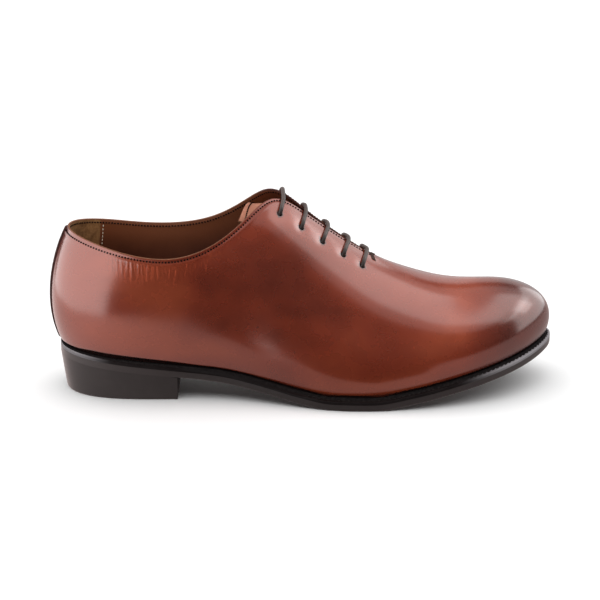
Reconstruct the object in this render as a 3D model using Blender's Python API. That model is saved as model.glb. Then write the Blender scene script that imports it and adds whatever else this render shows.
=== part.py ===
"""Whole-cut oxford shoe for the right foot, standing empty on its heel and forefoot.

Sizes are in millimetres and become metres where the meshes are made. The shoe lies along X with
its toe towards +X, its outer (lateral) side faces -Y, and it stands on z = 0.
"""
import math

import bmesh
import bpy
import numpy as np

MM = 0.001

# Driving sizes of the shoe
SHOE_LENGTH = 303.0
BALL_WIDTH = 99.0
INSTEP_HEIGHT = 120.0
HEEL_HEIGHT = 22.0
TOE_SPRING = 22.0

# Thicknesses and clearances
WALL = 2.2
OUTSOLE_THICKNESS = 3.7
WELT_EDGE = 1.8
WELT_RISE = 1.1
INSOLE_THICKNESS = 4.9
TONGUE_THICKNESS = 1.8
SEAT_GAP = 0.3

# Strip over the back seam: half its width in ribs and its span as shares of the rib's height
BACK_STRIP_THICKNESS = 0.9
BACK_STRIP_HALF_WIDTH = 0.16
BACK_STRIP_SPAN = (0.02, 0.99)

# Heel block, eyelets and laces
HEEL_BREAST = 77.0
HEEL_REAR_TAPER = 3.0
HEEL_SIDE_TAPER = 0.8
EYELET_RADIUS = 1.7
EYELET_CUT_DEPTH = 10.0
LACE_RADIUS = 1.25
LACE_CLEARANCE = 0.5
LACE_LEAN = 0.28

# Mesh fineness
STATIONS_PER_RIB = 3
UPPER_ROWS = 10
RUNG_STEPS = 6
HEEL_STATIONS = 12
BACK_STRIP_STEPS = (4, 16)
TONGUE_LENGTH_STEPS = 14
TONGUE_WIDTH_STEPS = 8
LACE_POINTS_PER_SIDE = 7
LACE_BEVEL_RESOLUTION = 2
EYELET_SIDES = 10

# Size that the tables below are drawn at
PATTERN_LENGTH = 303.0
PATTERN_BALL_WIDTH = 99.0
PATTERN_INSTEP_HEIGHT = 120.0
PATTERN_HEEL_HEIGHT = 22.0
PATTERN_TOE_SPRING = 22.0
GRADE_X = SHOE_LENGTH / PATTERN_LENGTH
GRADE_Y = BALL_WIDTH / PATTERN_BALL_WIDTH
GRADE_Z = INSTEP_HEIGHT / PATTERN_INSTEP_HEIGHT

# Ribs of the last run up from the feather line, where upper and welt meet, to the top edge.
# A row is a pair of ribs, from the back of the heel to the toe. Leans are degrees from upright,
# outwards at the foot and inwards at the top, and pulls are shares of the rib's length.
FOOT_COLUMNS = ("x", "lateral_y", "medial_y", "lateral_lean", "medial_lean", "pull",
                "lateral_welt", "medial_welt")
FOOT_ROWS = np.array((
    (3.8, 0.0, 0.0, 26, 26, 0.32, 0.4, 0.4),
    (9.3, -17.0, 17.0, 24, 24, 0.32, 0.7, 0.7),
    (28.0, -27.8, 27.2, 20, 20, 0.31, 1.3, 1.3),
    (54.0, -30.2, 29.6, 17, 16, 0.30, 1.5, 1.4),
    (80.0, -28.6, 28.0, 16, 12, 0.30, 2.0, 1.5),
    (103.0, -28.4, 26.0, 20, 8, 0.30, 2.6, 1.5),
    (122.0, -32.0, 26.0, 24, 8, 0.31, 3.2, 1.6),
    (139.0, -36.6, 28.5, 24, 10, 0.31, 3.7, 2.0),
    (154.0, -40.5, 32.5, 24, 14, 0.31, 4.0, 2.8),
    (170.0, -44.2, 37.5, 24, 18, 0.31, 4.2, 3.6),
    (188.0, -45.4, 42.0, 26, 22, 0.32, 4.3, 4.1),
    (207.0, -44.0, 45.0, 27, 24, 0.34, 4.3, 4.3),
    (226.0, -41.2, 46.0, 28, 26, 0.35, 4.3, 4.3),
    (245.0, -36.5, 44.5, 26, 25, 0.37, 4.3, 4.3),
    (263.0, -29.7, 41.2, 23, 23, 0.40, 4.3, 4.3),
    (280.3, -19.5, 36.0, 22, 22, 0.43, 4.0, 4.0),
    (294.2, -4.6, 28.0, 23, 23, 0.46, 3.3, 3.3),
    (302.6, 13.0, 13.0, 23, 23, 0.47, 2.8, 2.8),
))
TOP_COLUMNS = ("x", "lateral_y", "medial_y", "lateral_z", "medial_z", "lean", "pull")
TOP_ROWS = np.array((
    (10.6, 0.0, 0.0, 100.3, 100.3, 32, 0.34),
    (14.7, -13.5, 13.5, 99.4, 99.4, 25, 0.34),
    (31.0, -25.5, 25.5, 95.2, 95.9, 12, 0.33),
    (54.0, -31.5, 31.0, 89.4, 91.2, 6, 0.32),
    (77.0, -33.5, 33.0, 88.0, 90.3, 6, 0.32),
    (98.0, -31.0, 30.5, 95.0, 95.0, 20, 0.32),
    (115.5, -24.0, 23.5, 107.5, 106.8, 38, 0.30),
    (128.0, -12.0, 11.5, 118.8, 119.8, 54, 0.27),
    (139.0, -2.0, 2.0, 118.8, 122.0, 70, 0.25),
    (156.0, -1.8, 1.8, 106.0, 106.4, 73, 0.25),
    (175.0, -1.5, 1.5, 92.6, 92.6, 77, 0.27),
    (194.0, 0.0, 0.0, 80.2, 80.2, 84, 0.31),
    (213.0, 2.4, 2.4, 71.7, 71.7, 90, 0.34),
    (230.0, 4.8, 4.8, 65.5, 65.5, 90, 0.38),
    (244.0, 7.0, 7.0, 63.0, 63.0, 90, 0.43),
    (255.0, 9.0, 9.0, 62.8, 62.8, 90, 0.46),
    (262.5, 10.4, 10.4, 62.7, 62.7, 90, 0.50),
    (266.0, 11.0, 11.0, 62.5, 62.5, 90, 0.53),
))
FIRST_INSTEP_ROW = 6
FIRST_RIDGE_ROW = 8
THROAT_ROW = 11
TOE_ROW = len(FOOT_ROWS) - 1
RIB_COUNT = 2 * TOE_ROW

# Underside of the outsole along the shoe, flat where the forefoot stands
PROFILE_COLUMNS = ("x", "underside")
PROFILE_ROWS = np.array((
    (0.0, 22.6),
    (77.0, 14.2),
    (104.0, 11.2),
    (132.0, 6.1),
    (150.0, 2.5),
    (169.0, 0.0),
    (193.0, 0.0),
    (218.0, 3.6),
    (246.0, 9.2),
    (304.0, 22.2),
))

# Upper face of the tongue: its middle line, half its width, how far its edges drop and how far
# its medial edge lies ahead of the middle
TONGUE_COLUMNS = ("x", "middle_y", "middle_z", "half_width", "edge_drop", "skew")
TONGUE_ROWS = np.array((
    (117.0, 0.0, 111.0, 18.2, 4.6, 2.6),
    (130.0, 0.0, 112.6, 19.0, 9.6, 1.6),
    (144.0, 0.0, 108.4, 18.5, 13.2, 0.0),
    (160.0, 0.0, 98.0, 18.0, 13.2, 0.0),
    (178.0, 0.0, 86.0, 17.0, 10.5, 0.0),
    (194.0, 0.5, 76.4, 15.0, 6.5, 0.0),
    (206.0, 1.4, 70.9, 14.0, 4.5, 0.0),
))

# Eyelets from the top one down, as a place along the ribs and a share of the rib's height
EYELET_ROWS = np.array((
    (7.65, 0.887),
    (8.48, 0.840),
    (9.20, 0.833),
    (9.85, 0.825),
    (10.43, 0.815),
))

# Base colour and roughness of each material
LEATHER_COGNAC = ((0.28, 0.075, 0.035), 0.25)
LEATHER_DARK = ((0.060, 0.020, 0.016), 0.40)
LEATHER_TAN = ((0.36, 0.16, 0.07), 0.55)
EDGE_DARK = ((0.030, 0.022, 0.020), 0.40)
WELT_DARK = ((0.020, 0.014, 0.012), 0.45)
LACE_BROWN = ((0.045, 0.018, 0.012), 0.55)


def column(rows, columns, name):
    """One named column of a table."""
    return rows[:, columns.index(name)]


def monotone_curve(xs, ys, x):
    """Smooth curve through a table that never overshoots its rows and keeps flat stretches flat."""
    spans = np.diff(xs)
    slopes = np.diff(ys) / spans
    tangents = np.zeros(len(xs))
    tangents[0] = slopes[0]
    tangents[-1] = slopes[-1]
    for row in range(1, len(xs) - 1):
        before = slopes[row - 1]
        after = slopes[row]
        if before * after > 0:
            weight_before = 2 * spans[row] + spans[row - 1]
            weight_after = spans[row] + 2 * spans[row - 1]
            tangents[row] = (weight_before + weight_after) / (weight_before / before + weight_after / after)
    x = np.asarray(x, dtype=float)
    row = np.clip(np.searchsorted(xs, x, side="right") - 1, 0, len(xs) - 2)
    t = (x - xs[row]) / spans[row]
    start = ys[row] * (1 + 2 * t) * (1 - t) ** 2 + tangents[row] * spans[row] * t * (1 - t) ** 2
    end = ys[row + 1] * t * t * (3 - 2 * t) + tangents[row + 1] * spans[row] * t * t * (t - 1)
    return start + end


def underside(x):
    """Height of the outsole's underside, graded by heel height behind the ball and toe spring before it."""
    profile_x = column(PROFILE_ROWS, PROFILE_COLUMNS, "x") * GRADE_X
    height = monotone_curve(profile_x, column(PROFILE_ROWS, PROFILE_COLUMNS, "underside"), x)
    ball = profile_x[PROFILE_ROWS[:, 1].argmin()]
    heel_grade = HEEL_HEIGHT / PATTERN_HEEL_HEIGHT
    toe_grade = TOE_SPRING / PATTERN_TOE_SPRING
    return height * np.where(np.asarray(x) <= ball, heel_grade, toe_grade)


def around_shoe(lateral, medial):
    """Lateral rows from heel to toe, then medial rows back to the heel."""
    return np.concatenate((lateral, medial[TOE_ROW - 1:0:-1]))


def closed_spline(rows, stations):
    """Smooth closed curve drawn by the rows, at stations counted in rows from the heel."""
    stations = np.asarray(stations, dtype=float)
    first = np.floor(stations).astype(int)
    t = stations - first
    weights = (
        (1 - t) ** 3 / 6,
        (3 * t ** 3 - 6 * t ** 2 + 4) / 6,
        (-3 * t ** 3 + 3 * t ** 2 + 3 * t + 1) / 6,
        t ** 3 / 6,
    )
    shape = (len(stations),) + (1,) * (rows.ndim - 1)
    return sum(w.reshape(shape) * rows[(first + i - 1) % RIB_COUNT] for i, w in enumerate(weights))


def unit(vectors):
    """Vectors scaled to length one."""
    return vectors / np.linalg.norm(vectors, axis=-1, keepdims=True)


FEATHER_HEIGHT = OUTSOLE_THICKNESS + SEAT_GAP + WELT_EDGE + WELT_RISE + SEAT_GAP


def rib_controls():
    """Four control points of each rib around the shoe: foot, foot handle, top handle and top."""
    def foot(name):
        return column(FOOT_ROWS, FOOT_COLUMNS, name)

    def top(name):
        return column(TOP_ROWS, TOP_COLUMNS, name)

    foot_x = around_shoe(foot("x"), foot("x")) * GRADE_X
    foot_y = around_shoe(foot("lateral_y"), foot("medial_y")) * GRADE_Y
    foot_points = np.column_stack((foot_x, foot_y, underside(foot_x) + FEATHER_HEIGHT))
    top_points = np.column_stack((
        around_shoe(top("x"), top("x")) * GRADE_X,
        around_shoe(top("lateral_y"), top("medial_y")) * GRADE_Y,
        around_shoe(top("lateral_z"), top("medial_z")) * GRADE_Z,
    ))
    row = around_shoe(np.arange(TOE_ROW + 1), np.arange(TOE_ROW + 1))

    along = np.roll(foot_points[:, :2], -1, axis=0) - np.roll(foot_points[:, :2], 1, axis=0)
    inward = unit(np.column_stack((-along[:, 1], along[:, 0])))
    across = unit(top_points[:, :2] - foot_points[:, :2])
    heading = np.where((row >= FIRST_INSTEP_ROW)[:, None], across, inward)

    ridge_slope = np.gradient(top("lateral_z")) * GRADE_Z / (np.gradient(top("x")) * GRADE_X)
    ridge_slope[:FIRST_RIDGE_ROW] = 0.0

    foot_lean = np.radians(around_shoe(foot("lateral_lean"), foot("medial_lean")))[:, None]
    top_lean = np.radians(around_shoe(top("lean"), top("lean")))[:, None]
    foot_direction = np.hstack((-inward * np.sin(foot_lean), np.cos(foot_lean)))
    climb = np.cos(top_lean[:, 0]) + np.sin(top_lean[:, 0]) * heading[:, 0] * ridge_slope[row]
    top_direction = unit(np.column_stack((heading * np.sin(top_lean), climb)))

    length = np.linalg.norm(top_points - foot_points, axis=1)
    foot_pull = (around_shoe(foot("pull"), foot("pull")) * length)[:, None]
    top_pull = (around_shoe(top("pull"), top("pull")) * length)[:, None]
    foot_handles = foot_points + foot_direction * foot_pull
    top_handles = top_points - top_direction * top_pull
    return np.stack((foot_points, foot_handles, top_handles, top_points), axis=1)


RIBS = rib_controls()
WELT_REACH = around_shoe(
    column(FOOT_ROWS, FOOT_COLUMNS, "lateral_welt"), column(FOOT_ROWS, FOOT_COLUMNS, "medial_welt"))


def last_surface(stations, heights):
    """Outer face of the upper: points at stations around the shoe and shares of the rib's height."""
    ribs = closed_spline(RIBS, stations)
    t = np.asarray(heights, dtype=float)[None, :, None]
    foot = ribs[:, None, 0] * (1 - t) ** 3 + 3 * ribs[:, None, 1] * (1 - t) ** 2 * t
    top = 3 * ribs[:, None, 2] * (1 - t) * t ** 2 + ribs[:, None, 3] * t ** 3
    return foot + top


def last_normals(stations, heights):
    """Outward unit normals of the last's surface, read just below the ridge."""
    step = 0.01
    stations = np.asarray(stations, dtype=float)
    heights = np.clip(np.asarray(heights, dtype=float), 0.0, 0.97)
    around = last_surface(stations + step, heights) - last_surface(stations - step, heights)
    upwards = last_surface(stations, heights + step) - last_surface(stations, heights - step)
    return unit(np.cross(around, upwards))


def feather_offset(stations, outwards):
    """Plan points at a distance outside the feather line."""
    step = 0.01
    foot = RIBS[:, 0]
    ahead = closed_spline(foot, np.asarray(stations) + step)
    behind = closed_spline(foot, np.asarray(stations) - step)
    along = unit((ahead - behind)[:, :2])
    outward = np.column_stack((along[:, 1], -along[:, 0]))
    return closed_spline(foot, stations)[:, :2] + outward * np.reshape(outwards, (-1, 1))


def sole_edge(stations, inset=0.0):
    """Plan points of the edge that welt and outsole share."""
    return feather_offset(stations, closed_spline(WELT_REACH, stations) - inset)


def standing_on_sole(plan, height):
    """Plan points lifted to a height over the outsole's underside."""
    return np.column_stack((plan, underside(plan[:, 0]) + height))


LOOP_COUNT = RIB_COUNT * STATIONS_PER_RIB
LOOP_STATIONS = np.arange(LOOP_COUNT) / STATIONS_PER_RIB
TOE_COLUMN = TOE_ROW * STATIONS_PER_RIB
THROAT_COLUMN = THROAT_ROW * STATIONS_PER_RIB


def upper_walls():
    """Grids of the upper's outer and inner face, with the two sides joined along the vamp's ridge."""
    heights = np.linspace(0.0, 1.0, UPPER_ROWS + 1)
    outer = last_surface(LOOP_STATIONS, heights)
    normals = last_normals(LOOP_STATIONS, heights)
    for lateral in range(THROAT_COLUMN, TOE_COLUMN):
        medial = LOOP_COUNT - lateral
        outer[lateral, -1] = outer[medial, -1] = (outer[lateral, -1] + outer[medial, -1]) / 2
        normals[lateral, -1] = normals[medial, -1] = unit(normals[lateral, -1] + normals[medial, -1])
    inner = outer - WALL * normals
    outer[:, 0] = standing_on_sole(outer[:, 0, :2], FEATHER_HEIGHT)
    inner[:, 0] = standing_on_sole(feather_offset(LOOP_STATIONS, np.full(LOOP_COUNT, -WALL)), FEATHER_HEIGHT)
    return outer, inner


def upper_mesh():
    """Hollow upper, open at the collar, down the throat and underneath."""
    outer, inner = upper_walls()
    rows = UPPER_ROWS + 1
    points = np.concatenate((outer.reshape(-1, 3), inner.reshape(-1, 3)))

    def index(face, place, row):
        place = place % LOOP_COUNT
        joined = LOOP_COUNT - THROAT_COLUMN >= place > TOE_COLUMN
        if row == UPPER_ROWS and joined:
            place = LOOP_COUNT - place
        return (face * LOOP_COUNT + place) * rows + row

    faces = []
    for place in range(LOOP_COUNT):
        for face in (0, 1):
            for row in range(UPPER_ROWS):
                faces.append((index(face, place, row), index(face, place + 1, row),
                              index(face, place + 1, row + 1), index(face, place, row + 1)))
        rims = [0]
        if place < THROAT_COLUMN or place >= LOOP_COUNT - THROAT_COLUMN:
            rims.append(UPPER_ROWS)
        for row in rims:
            faces.append((index(0, place, row), index(0, place + 1, row),
                          index(1, place + 1, row), index(1, place, row)))
    return points, faces


def back_strip_face(lift):
    """Grid over the upper's back seam, at a distance from the upper's outer face."""
    across, along = BACK_STRIP_STEPS
    stations = np.linspace(-BACK_STRIP_HALF_WIDTH, BACK_STRIP_HALF_WIDTH, across + 1)
    heights = np.linspace(*BACK_STRIP_SPAN, along + 1)
    return last_surface(stations, heights) + lift * last_normals(stations, heights)


def back_strip_mesh():
    """Narrow leather strip that covers the back seam from the welt to the collar."""
    return sheet_mesh(back_strip_face(SEAT_GAP + BACK_STRIP_THICKNESS), back_strip_face(SEAT_GAP))


def ring_mesh(loops):
    """Closed ring with the given loops around its cross-section."""
    count = len(loops[0])
    points = np.concatenate(loops)
    faces = []
    for level in range(len(loops)):
        above = (level + 1) % len(loops)
        for place in range(count):
            ahead = (place + 1) % count
            faces.append((level * count + place, level * count + ahead,
                          above * count + ahead, above * count + place))
    return points, faces


def plate_mesh(low_lateral, low_medial, high_lateral, high_medial, low_height, high_height):
    """Solid between two faces that are built of rungs from the lateral edge to the medial edge.

    The first rung, and the last one if the edges meet there, is a single point.
    """
    points = []
    grids = []
    for lateral, medial, height in ((low_lateral, low_medial, low_height),
                                    (high_lateral, high_medial, high_height)):
        grid = []
        for start, end in zip(lateral, medial):
            steps = RUNG_STEPS if np.linalg.norm(end - start) > SEAT_GAP else 0
            rung = [start + (end - start) * step / max(steps, 1) for step in range(steps + 1)]
            grid.append(list(range(len(points), len(points) + len(rung))))
            points.extend((*plan, float(height(plan[0]))) for plan in rung)
        grids.append(grid)

    faces = []
    for grid in grids:
        for rung, ahead in zip(grid, grid[1:]):
            for step in range(RUNG_STEPS):
                corners = [rung[min(step, len(rung) - 1)], ahead[min(step, len(ahead) - 1)],
                           ahead[min(step + 1, len(ahead) - 1)], rung[min(step + 1, len(rung) - 1)]]
                faces.append(tuple(dict.fromkeys(corners)))
    low, high = grids
    outline_low = [rung[0] for rung in low] + low[-1][1:] + [rung[-1] for rung in low[-2:0:-1]]
    outline_high = [rung[0] for rung in high] + high[-1][1:] + [rung[-1] for rung in high[-2:0:-1]]
    for place in range(len(outline_low)):
        ahead = (place + 1) % len(outline_low)
        faces.append((outline_low[place], outline_low[ahead], outline_high[ahead], outline_high[place]))
    return np.array(points), faces


def full_plate(loop, low_height, high_height):
    """Plate of constant outline under the whole shoe, from a loop of plan points."""
    lateral = loop[:TOE_COLUMN + 1]
    medial = np.concatenate((loop[:1], loop[:TOE_COLUMN - 1:-1]))
    return plate_mesh(lateral, medial, lateral, medial, low_height, high_height)


def outsole_mesh():
    """Leather outsole that follows the profile from heel seat to toe spring."""
    return full_plate(sole_edge(LOOP_STATIONS), underside, lambda x: underside(x) + OUTSOLE_THICKNESS)


def insole_mesh():
    """Footbed that fills the space inside the welt and the foot of the upper."""
    floor = OUTSOLE_THICKNESS + SEAT_GAP
    loop = feather_offset(LOOP_STATIONS, np.full(LOOP_COUNT, -WALL - SEAT_GAP))
    return full_plate(loop, lambda x: underside(x) + floor,
                      lambda x: underside(x) + floor + INSOLE_THICKNESS)


def welt_mesh():
    """Strip between upper and outsole, with its upper face sloping down to the sole's edge."""
    low = OUTSOLE_THICKNESS + SEAT_GAP
    inner = feather_offset(LOOP_STATIONS, np.full(LOOP_COUNT, -WALL))
    middle = feather_offset(LOOP_STATIONS, np.zeros(LOOP_COUNT))
    edge = sole_edge(LOOP_STATIONS)
    return ring_mesh((
        standing_on_sole(inner, low),
        standing_on_sole(edge, low),
        standing_on_sole(edge, low + WELT_EDGE),
        standing_on_sole(middle, low + WELT_EDGE + WELT_RISE),
        standing_on_sole(inner, low + WELT_EDGE + WELT_RISE),
    ))


def heel_stations(side):
    """Stations from the back of the heel to the breast, on the lateral or the medial side."""
    search = np.linspace(0.0, TOE_ROW / 2, 400) * side
    breast = np.interp(HEEL_BREAST * GRADE_X, sole_edge(search)[:, 0], search)
    return np.linspace(0.0, breast, HEEL_STATIONS + 1)


def heel_taper(stations):
    """How far the heel's foot is drawn in, more at the back than along the sides."""
    top = sole_edge(stations)
    outward = unit(top - sole_edge(stations, inset=1.0))
    backwards = np.clip(-outward[:, 0], 0.0, 1.0) ** 2
    return HEEL_SIDE_TAPER + (HEEL_REAR_TAPER - HEEL_SIDE_TAPER) * backwards


def heel_mesh():
    """Heel block with a straight breast, a drawn-in back and a flat foot."""
    edges = []
    for side in (1, -1):
        stations = heel_stations(side)
        foot = sole_edge(stations, inset=heel_taper(stations))
        foot[-1, 0] = HEEL_BREAST * GRADE_X
        edges.append((foot, sole_edge(stations)))
    (low_lateral, high_lateral), (low_medial, high_medial) = edges
    return plate_mesh(low_lateral, low_medial, high_lateral, high_medial,
                      lambda x: 0.0, lambda x: underside(x) - SEAT_GAP)


def tongue_mesh():
    """Tongue under the facings, sewn in beyond the throat and ending inside the collar."""
    rows_x = column(TONGUE_ROWS, TONGUE_COLUMNS, "x")
    stations = np.linspace(rows_x[0], rows_x[-1], TONGUE_LENGTH_STEPS + 1)
    sizes = {name: monotone_curve(rows_x, column(TONGUE_ROWS, TONGUE_COLUMNS, name), stations)
             for name in TONGUE_COLUMNS}
    across = np.linspace(-1.0, 1.0, TONGUE_WIDTH_STEPS + 1)[None, :]
    face = np.stack((
        sizes["x"][:, None] + sizes["skew"][:, None] * across,
        sizes["middle_y"][:, None] + sizes["half_width"][:, None] * across,
        sizes["middle_z"][:, None] - sizes["edge_drop"][:, None] * across ** 2,
    ), axis=2) * (GRADE_X, GRADE_Y, GRADE_Z)
    along, sideways = np.gradient(face, axis=(0, 1))
    back = face - TONGUE_THICKNESS * unit(np.cross(along, sideways))
    return sheet_mesh(face, back)


def sheet_mesh(face, back):
    """Closed sheet between two grids of the same size."""
    count_a, count_b = face.shape[:2]
    points = np.concatenate((face.reshape(-1, 3), back.reshape(-1, 3)))

    def index(side, a, b):
        return (side * count_a + a) * count_b + b

    faces = []
    for side in (0, 1):
        for a in range(count_a - 1):
            for b in range(count_b - 1):
                faces.append((index(side, a, b), index(side, a + 1, b),
                              index(side, a + 1, b + 1), index(side, a, b + 1)))
    rim = [(a, 0) for a in range(count_a)]
    rim += [(count_a - 1, b) for b in range(1, count_b)]
    rim += [(a, count_b - 1) for a in range(count_a - 2, -1, -1)]
    rim += [(0, b) for b in range(count_b - 2, 0, -1)]
    for place, ahead in zip(rim, rim[1:] + rim[:1]):
        faces.append((index(0, *place), index(0, *ahead), index(1, *ahead), index(1, *place)))
    return points, faces


def lifted_point(station, height, lift):
    """Point that stands off the upper's outer face."""
    return last_surface([station], [height])[0, 0] + lift * last_normals([station], [height])[0, 0]


def lace_route(station, height):
    """Middle line of a lace bar, straight across the facings from the lateral eyelet to the medial one."""
    stations = np.linspace(station, station + LACE_LEAN, LACE_POINTS_PER_SIDE)
    heights = np.linspace(height, 1.0, LACE_POINTS_PER_SIDE)
    lift = LACE_RADIUS + LACE_CLEARANCE
    lateral = [lifted_point(place, share, lift) for place, share in zip(stations, heights)]
    medial = [lifted_point(-place, share, lift) for place, share in zip(stations, heights)]
    return np.array(lateral + medial[::-1])


def eyelet_frames():
    """Centre and outward direction of every eyelet, on both facings."""
    frames = []
    for station, height in EYELET_ROWS:
        for place in (station, -station):
            frames.append((last_surface([place], [height])[0, 0], last_normals([place], [height])[0, 0]))
    return frames


def make_material(name, look):
    """Principled material with a base colour and a roughness."""
    colour, roughness = look
    material = bpy.data.materials.new(name)
    material.use_nodes = True
    shader = material.node_tree.nodes["Principled BSDF"]
    shader.inputs["Base Color"].default_value = (*colour, 1.0)
    shader.inputs["Roughness"].default_value = roughness
    shader.inputs["Metallic"].default_value = 0.0
    return material


def add_object(name, data, frame):
    """Object that hangs on the shoe's own frame."""
    piece = bpy.data.objects.new(name, data)
    piece.parent = frame
    bpy.context.scene.collection.objects.link(piece)
    return piece


def add_mesh(name, shape, frame):
    """Mesh object from points in millimetres, with its faces turned outwards."""
    points, faces = shape
    mesh = bpy.data.meshes.new(name)
    mesh.from_pydata((np.asarray(points) * MM).tolist(), [], faces)
    builder = bmesh.new()
    builder.from_mesh(mesh)
    loose = [vertex for vertex in builder.verts if not vertex.link_faces]
    bmesh.ops.delete(builder, geom=loose, context="VERTS")
    bmesh.ops.recalc_face_normals(builder, faces=builder.faces)
    builder.to_mesh(mesh)
    builder.free()
    mesh.shade_smooth()
    mesh.set_sharp_from_angle(angle=math.radians(40.0))
    return add_object(name, mesh, frame)


def add_piece(name, shape, look, frame):
    """Mesh object with a material of its own."""
    piece = add_mesh(name, shape, frame)
    piece.data.materials.append(make_material(name, look))
    return piece


def eyelet_cutter_mesh():
    """Short pegs through both facings, one for each eyelet."""
    points = []
    faces = []
    turns = np.linspace(0.0, 2 * math.pi, EYELET_SIDES, endpoint=False)
    for centre, outward in eyelet_frames():
        sideways = unit(np.cross(outward, (1.0, 0.0, 0.0)))
        upwards = np.cross(outward, sideways)
        first = len(points)
        for depth in (-EYELET_CUT_DEPTH / 2, EYELET_CUT_DEPTH / 2):
            for turn in turns:
                rim = sideways * math.cos(turn) + upwards * math.sin(turn)
                points.append(centre + outward * depth + rim * EYELET_RADIUS)
        low = list(range(first, first + EYELET_SIDES))
        high = list(range(first + EYELET_SIDES, first + 2 * EYELET_SIDES))
        faces.append(tuple(reversed(low)))
        faces.append(tuple(high))
        for side in range(EYELET_SIDES):
            ahead = (side + 1) % EYELET_SIDES
            faces.append((low[side], low[ahead], high[ahead], high[side]))
    return np.array(points), faces


def punch_eyelets(upper, frame):
    """Eyelet holes through the facings."""
    cutter = add_mesh("eyelet_cutter", eyelet_cutter_mesh(), frame)
    cutter.hide_render = True
    cutter.display_type = "WIRE"
    punch = upper.modifiers.new("eyelets", "BOOLEAN")
    punch.operation = "DIFFERENCE"
    punch.object = cutter


def add_lace_bar(name, route, frame):
    """Round lace along a route of points in millimetres."""
    curve = bpy.data.curves.new(name, "CURVE")
    curve.dimensions = "3D"
    curve.bevel_depth = LACE_RADIUS * MM
    curve.bevel_resolution = LACE_BEVEL_RESOLUTION
    curve.use_fill_caps = True
    line = curve.splines.new("POLY")
    line.points.add(len(route) - 1)
    for point, place in zip(line.points, route):
        point.co = (*(place * MM), 1.0)
    curve.materials.append(make_material(name, LACE_BROWN))
    return add_object(name, curve, frame)


def frame_shift():
    """Shift that puts the origin under the middle of the shoe's box, on the floor."""
    edge = sole_edge(LOOP_STATIONS)
    back = back_strip_face(SEAT_GAP + BACK_STRIP_THICKNESS)[..., 0].min()
    toe = edge[:, 0].max()
    return np.array((-(back + toe) / 2, -(edge[:, 1].min() + edge[:, 1].max()) / 2, 0.0))


def build_shoe():
    for old in list(bpy.data.objects):
        bpy.data.objects.remove(old)
    frame = bpy.data.objects.new("shoe_frame", None)
    bpy.context.scene.collection.objects.link(frame)
    frame.location = frame_shift() * MM

    upper = add_piece("upper", upper_mesh(), LEATHER_COGNAC, frame)
    punch_eyelets(upper, frame)
    add_piece("back_strip", back_strip_mesh(), LEATHER_DARK, frame)
    add_piece("tongue", tongue_mesh(), LEATHER_COGNAC, frame)
    add_piece("insole", insole_mesh(), LEATHER_TAN, frame)
    add_piece("welt", welt_mesh(), WELT_DARK, frame)
    add_piece("outsole", outsole_mesh(), EDGE_DARK, frame)
    add_piece("heel", heel_mesh(), EDGE_DARK, frame)
    for number, (station, height) in enumerate(EYELET_ROWS, start=1):
        add_lace_bar(f"lace_bar_{number}", lace_route(station, height), frame)


build_shoe()
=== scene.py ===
import math

import bmesh
import bpy
import numpy as np
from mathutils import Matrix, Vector


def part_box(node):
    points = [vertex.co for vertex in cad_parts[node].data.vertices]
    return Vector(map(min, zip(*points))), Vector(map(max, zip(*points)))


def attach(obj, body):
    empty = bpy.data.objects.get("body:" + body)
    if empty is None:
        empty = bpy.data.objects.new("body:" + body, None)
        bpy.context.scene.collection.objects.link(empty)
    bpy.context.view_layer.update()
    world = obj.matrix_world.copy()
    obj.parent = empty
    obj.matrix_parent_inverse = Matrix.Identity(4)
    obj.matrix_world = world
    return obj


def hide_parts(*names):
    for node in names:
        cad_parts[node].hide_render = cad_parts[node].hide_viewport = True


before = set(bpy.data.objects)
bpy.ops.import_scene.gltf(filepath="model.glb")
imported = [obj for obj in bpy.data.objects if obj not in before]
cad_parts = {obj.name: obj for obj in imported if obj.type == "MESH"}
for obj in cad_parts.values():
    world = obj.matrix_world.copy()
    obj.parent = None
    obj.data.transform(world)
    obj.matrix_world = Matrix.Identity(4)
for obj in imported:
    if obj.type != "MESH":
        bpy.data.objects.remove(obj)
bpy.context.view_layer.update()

# Looks of a whole-cut oxford shoe for the right foot. Sizes are in millimetres in the shoe's own
# frame, with the toe towards +X and the outer (lateral) side towards -Y, and become metres in the
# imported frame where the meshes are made.
MM = 0.001

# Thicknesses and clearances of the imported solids
WALL = 2.2
OUTSOLE_THICKNESS = 3.7
WELT_EDGE = 1.8
WELT_RISE = 1.1
INSOLE_THICKNESS = 4.9
TONGUE_THICKNESS = 1.8
SEAT_GAP = 0.3
BED_HEIGHT = OUTSOLE_THICKNESS + SEAT_GAP
FEATHER_HEIGHT = BED_HEIGHT + WELT_EDGE + WELT_RISE + SEAT_GAP
HEEL_BREAST = 77.0
HEEL_REAR_TAPER = 3.0
HEEL_SIDE_TAPER = 0.8


def table(columns, *rows):
    """Columns of a table of sizes, by name."""
    return dict(zip(columns.split(), np.array(rows, dtype=float).T))


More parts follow.
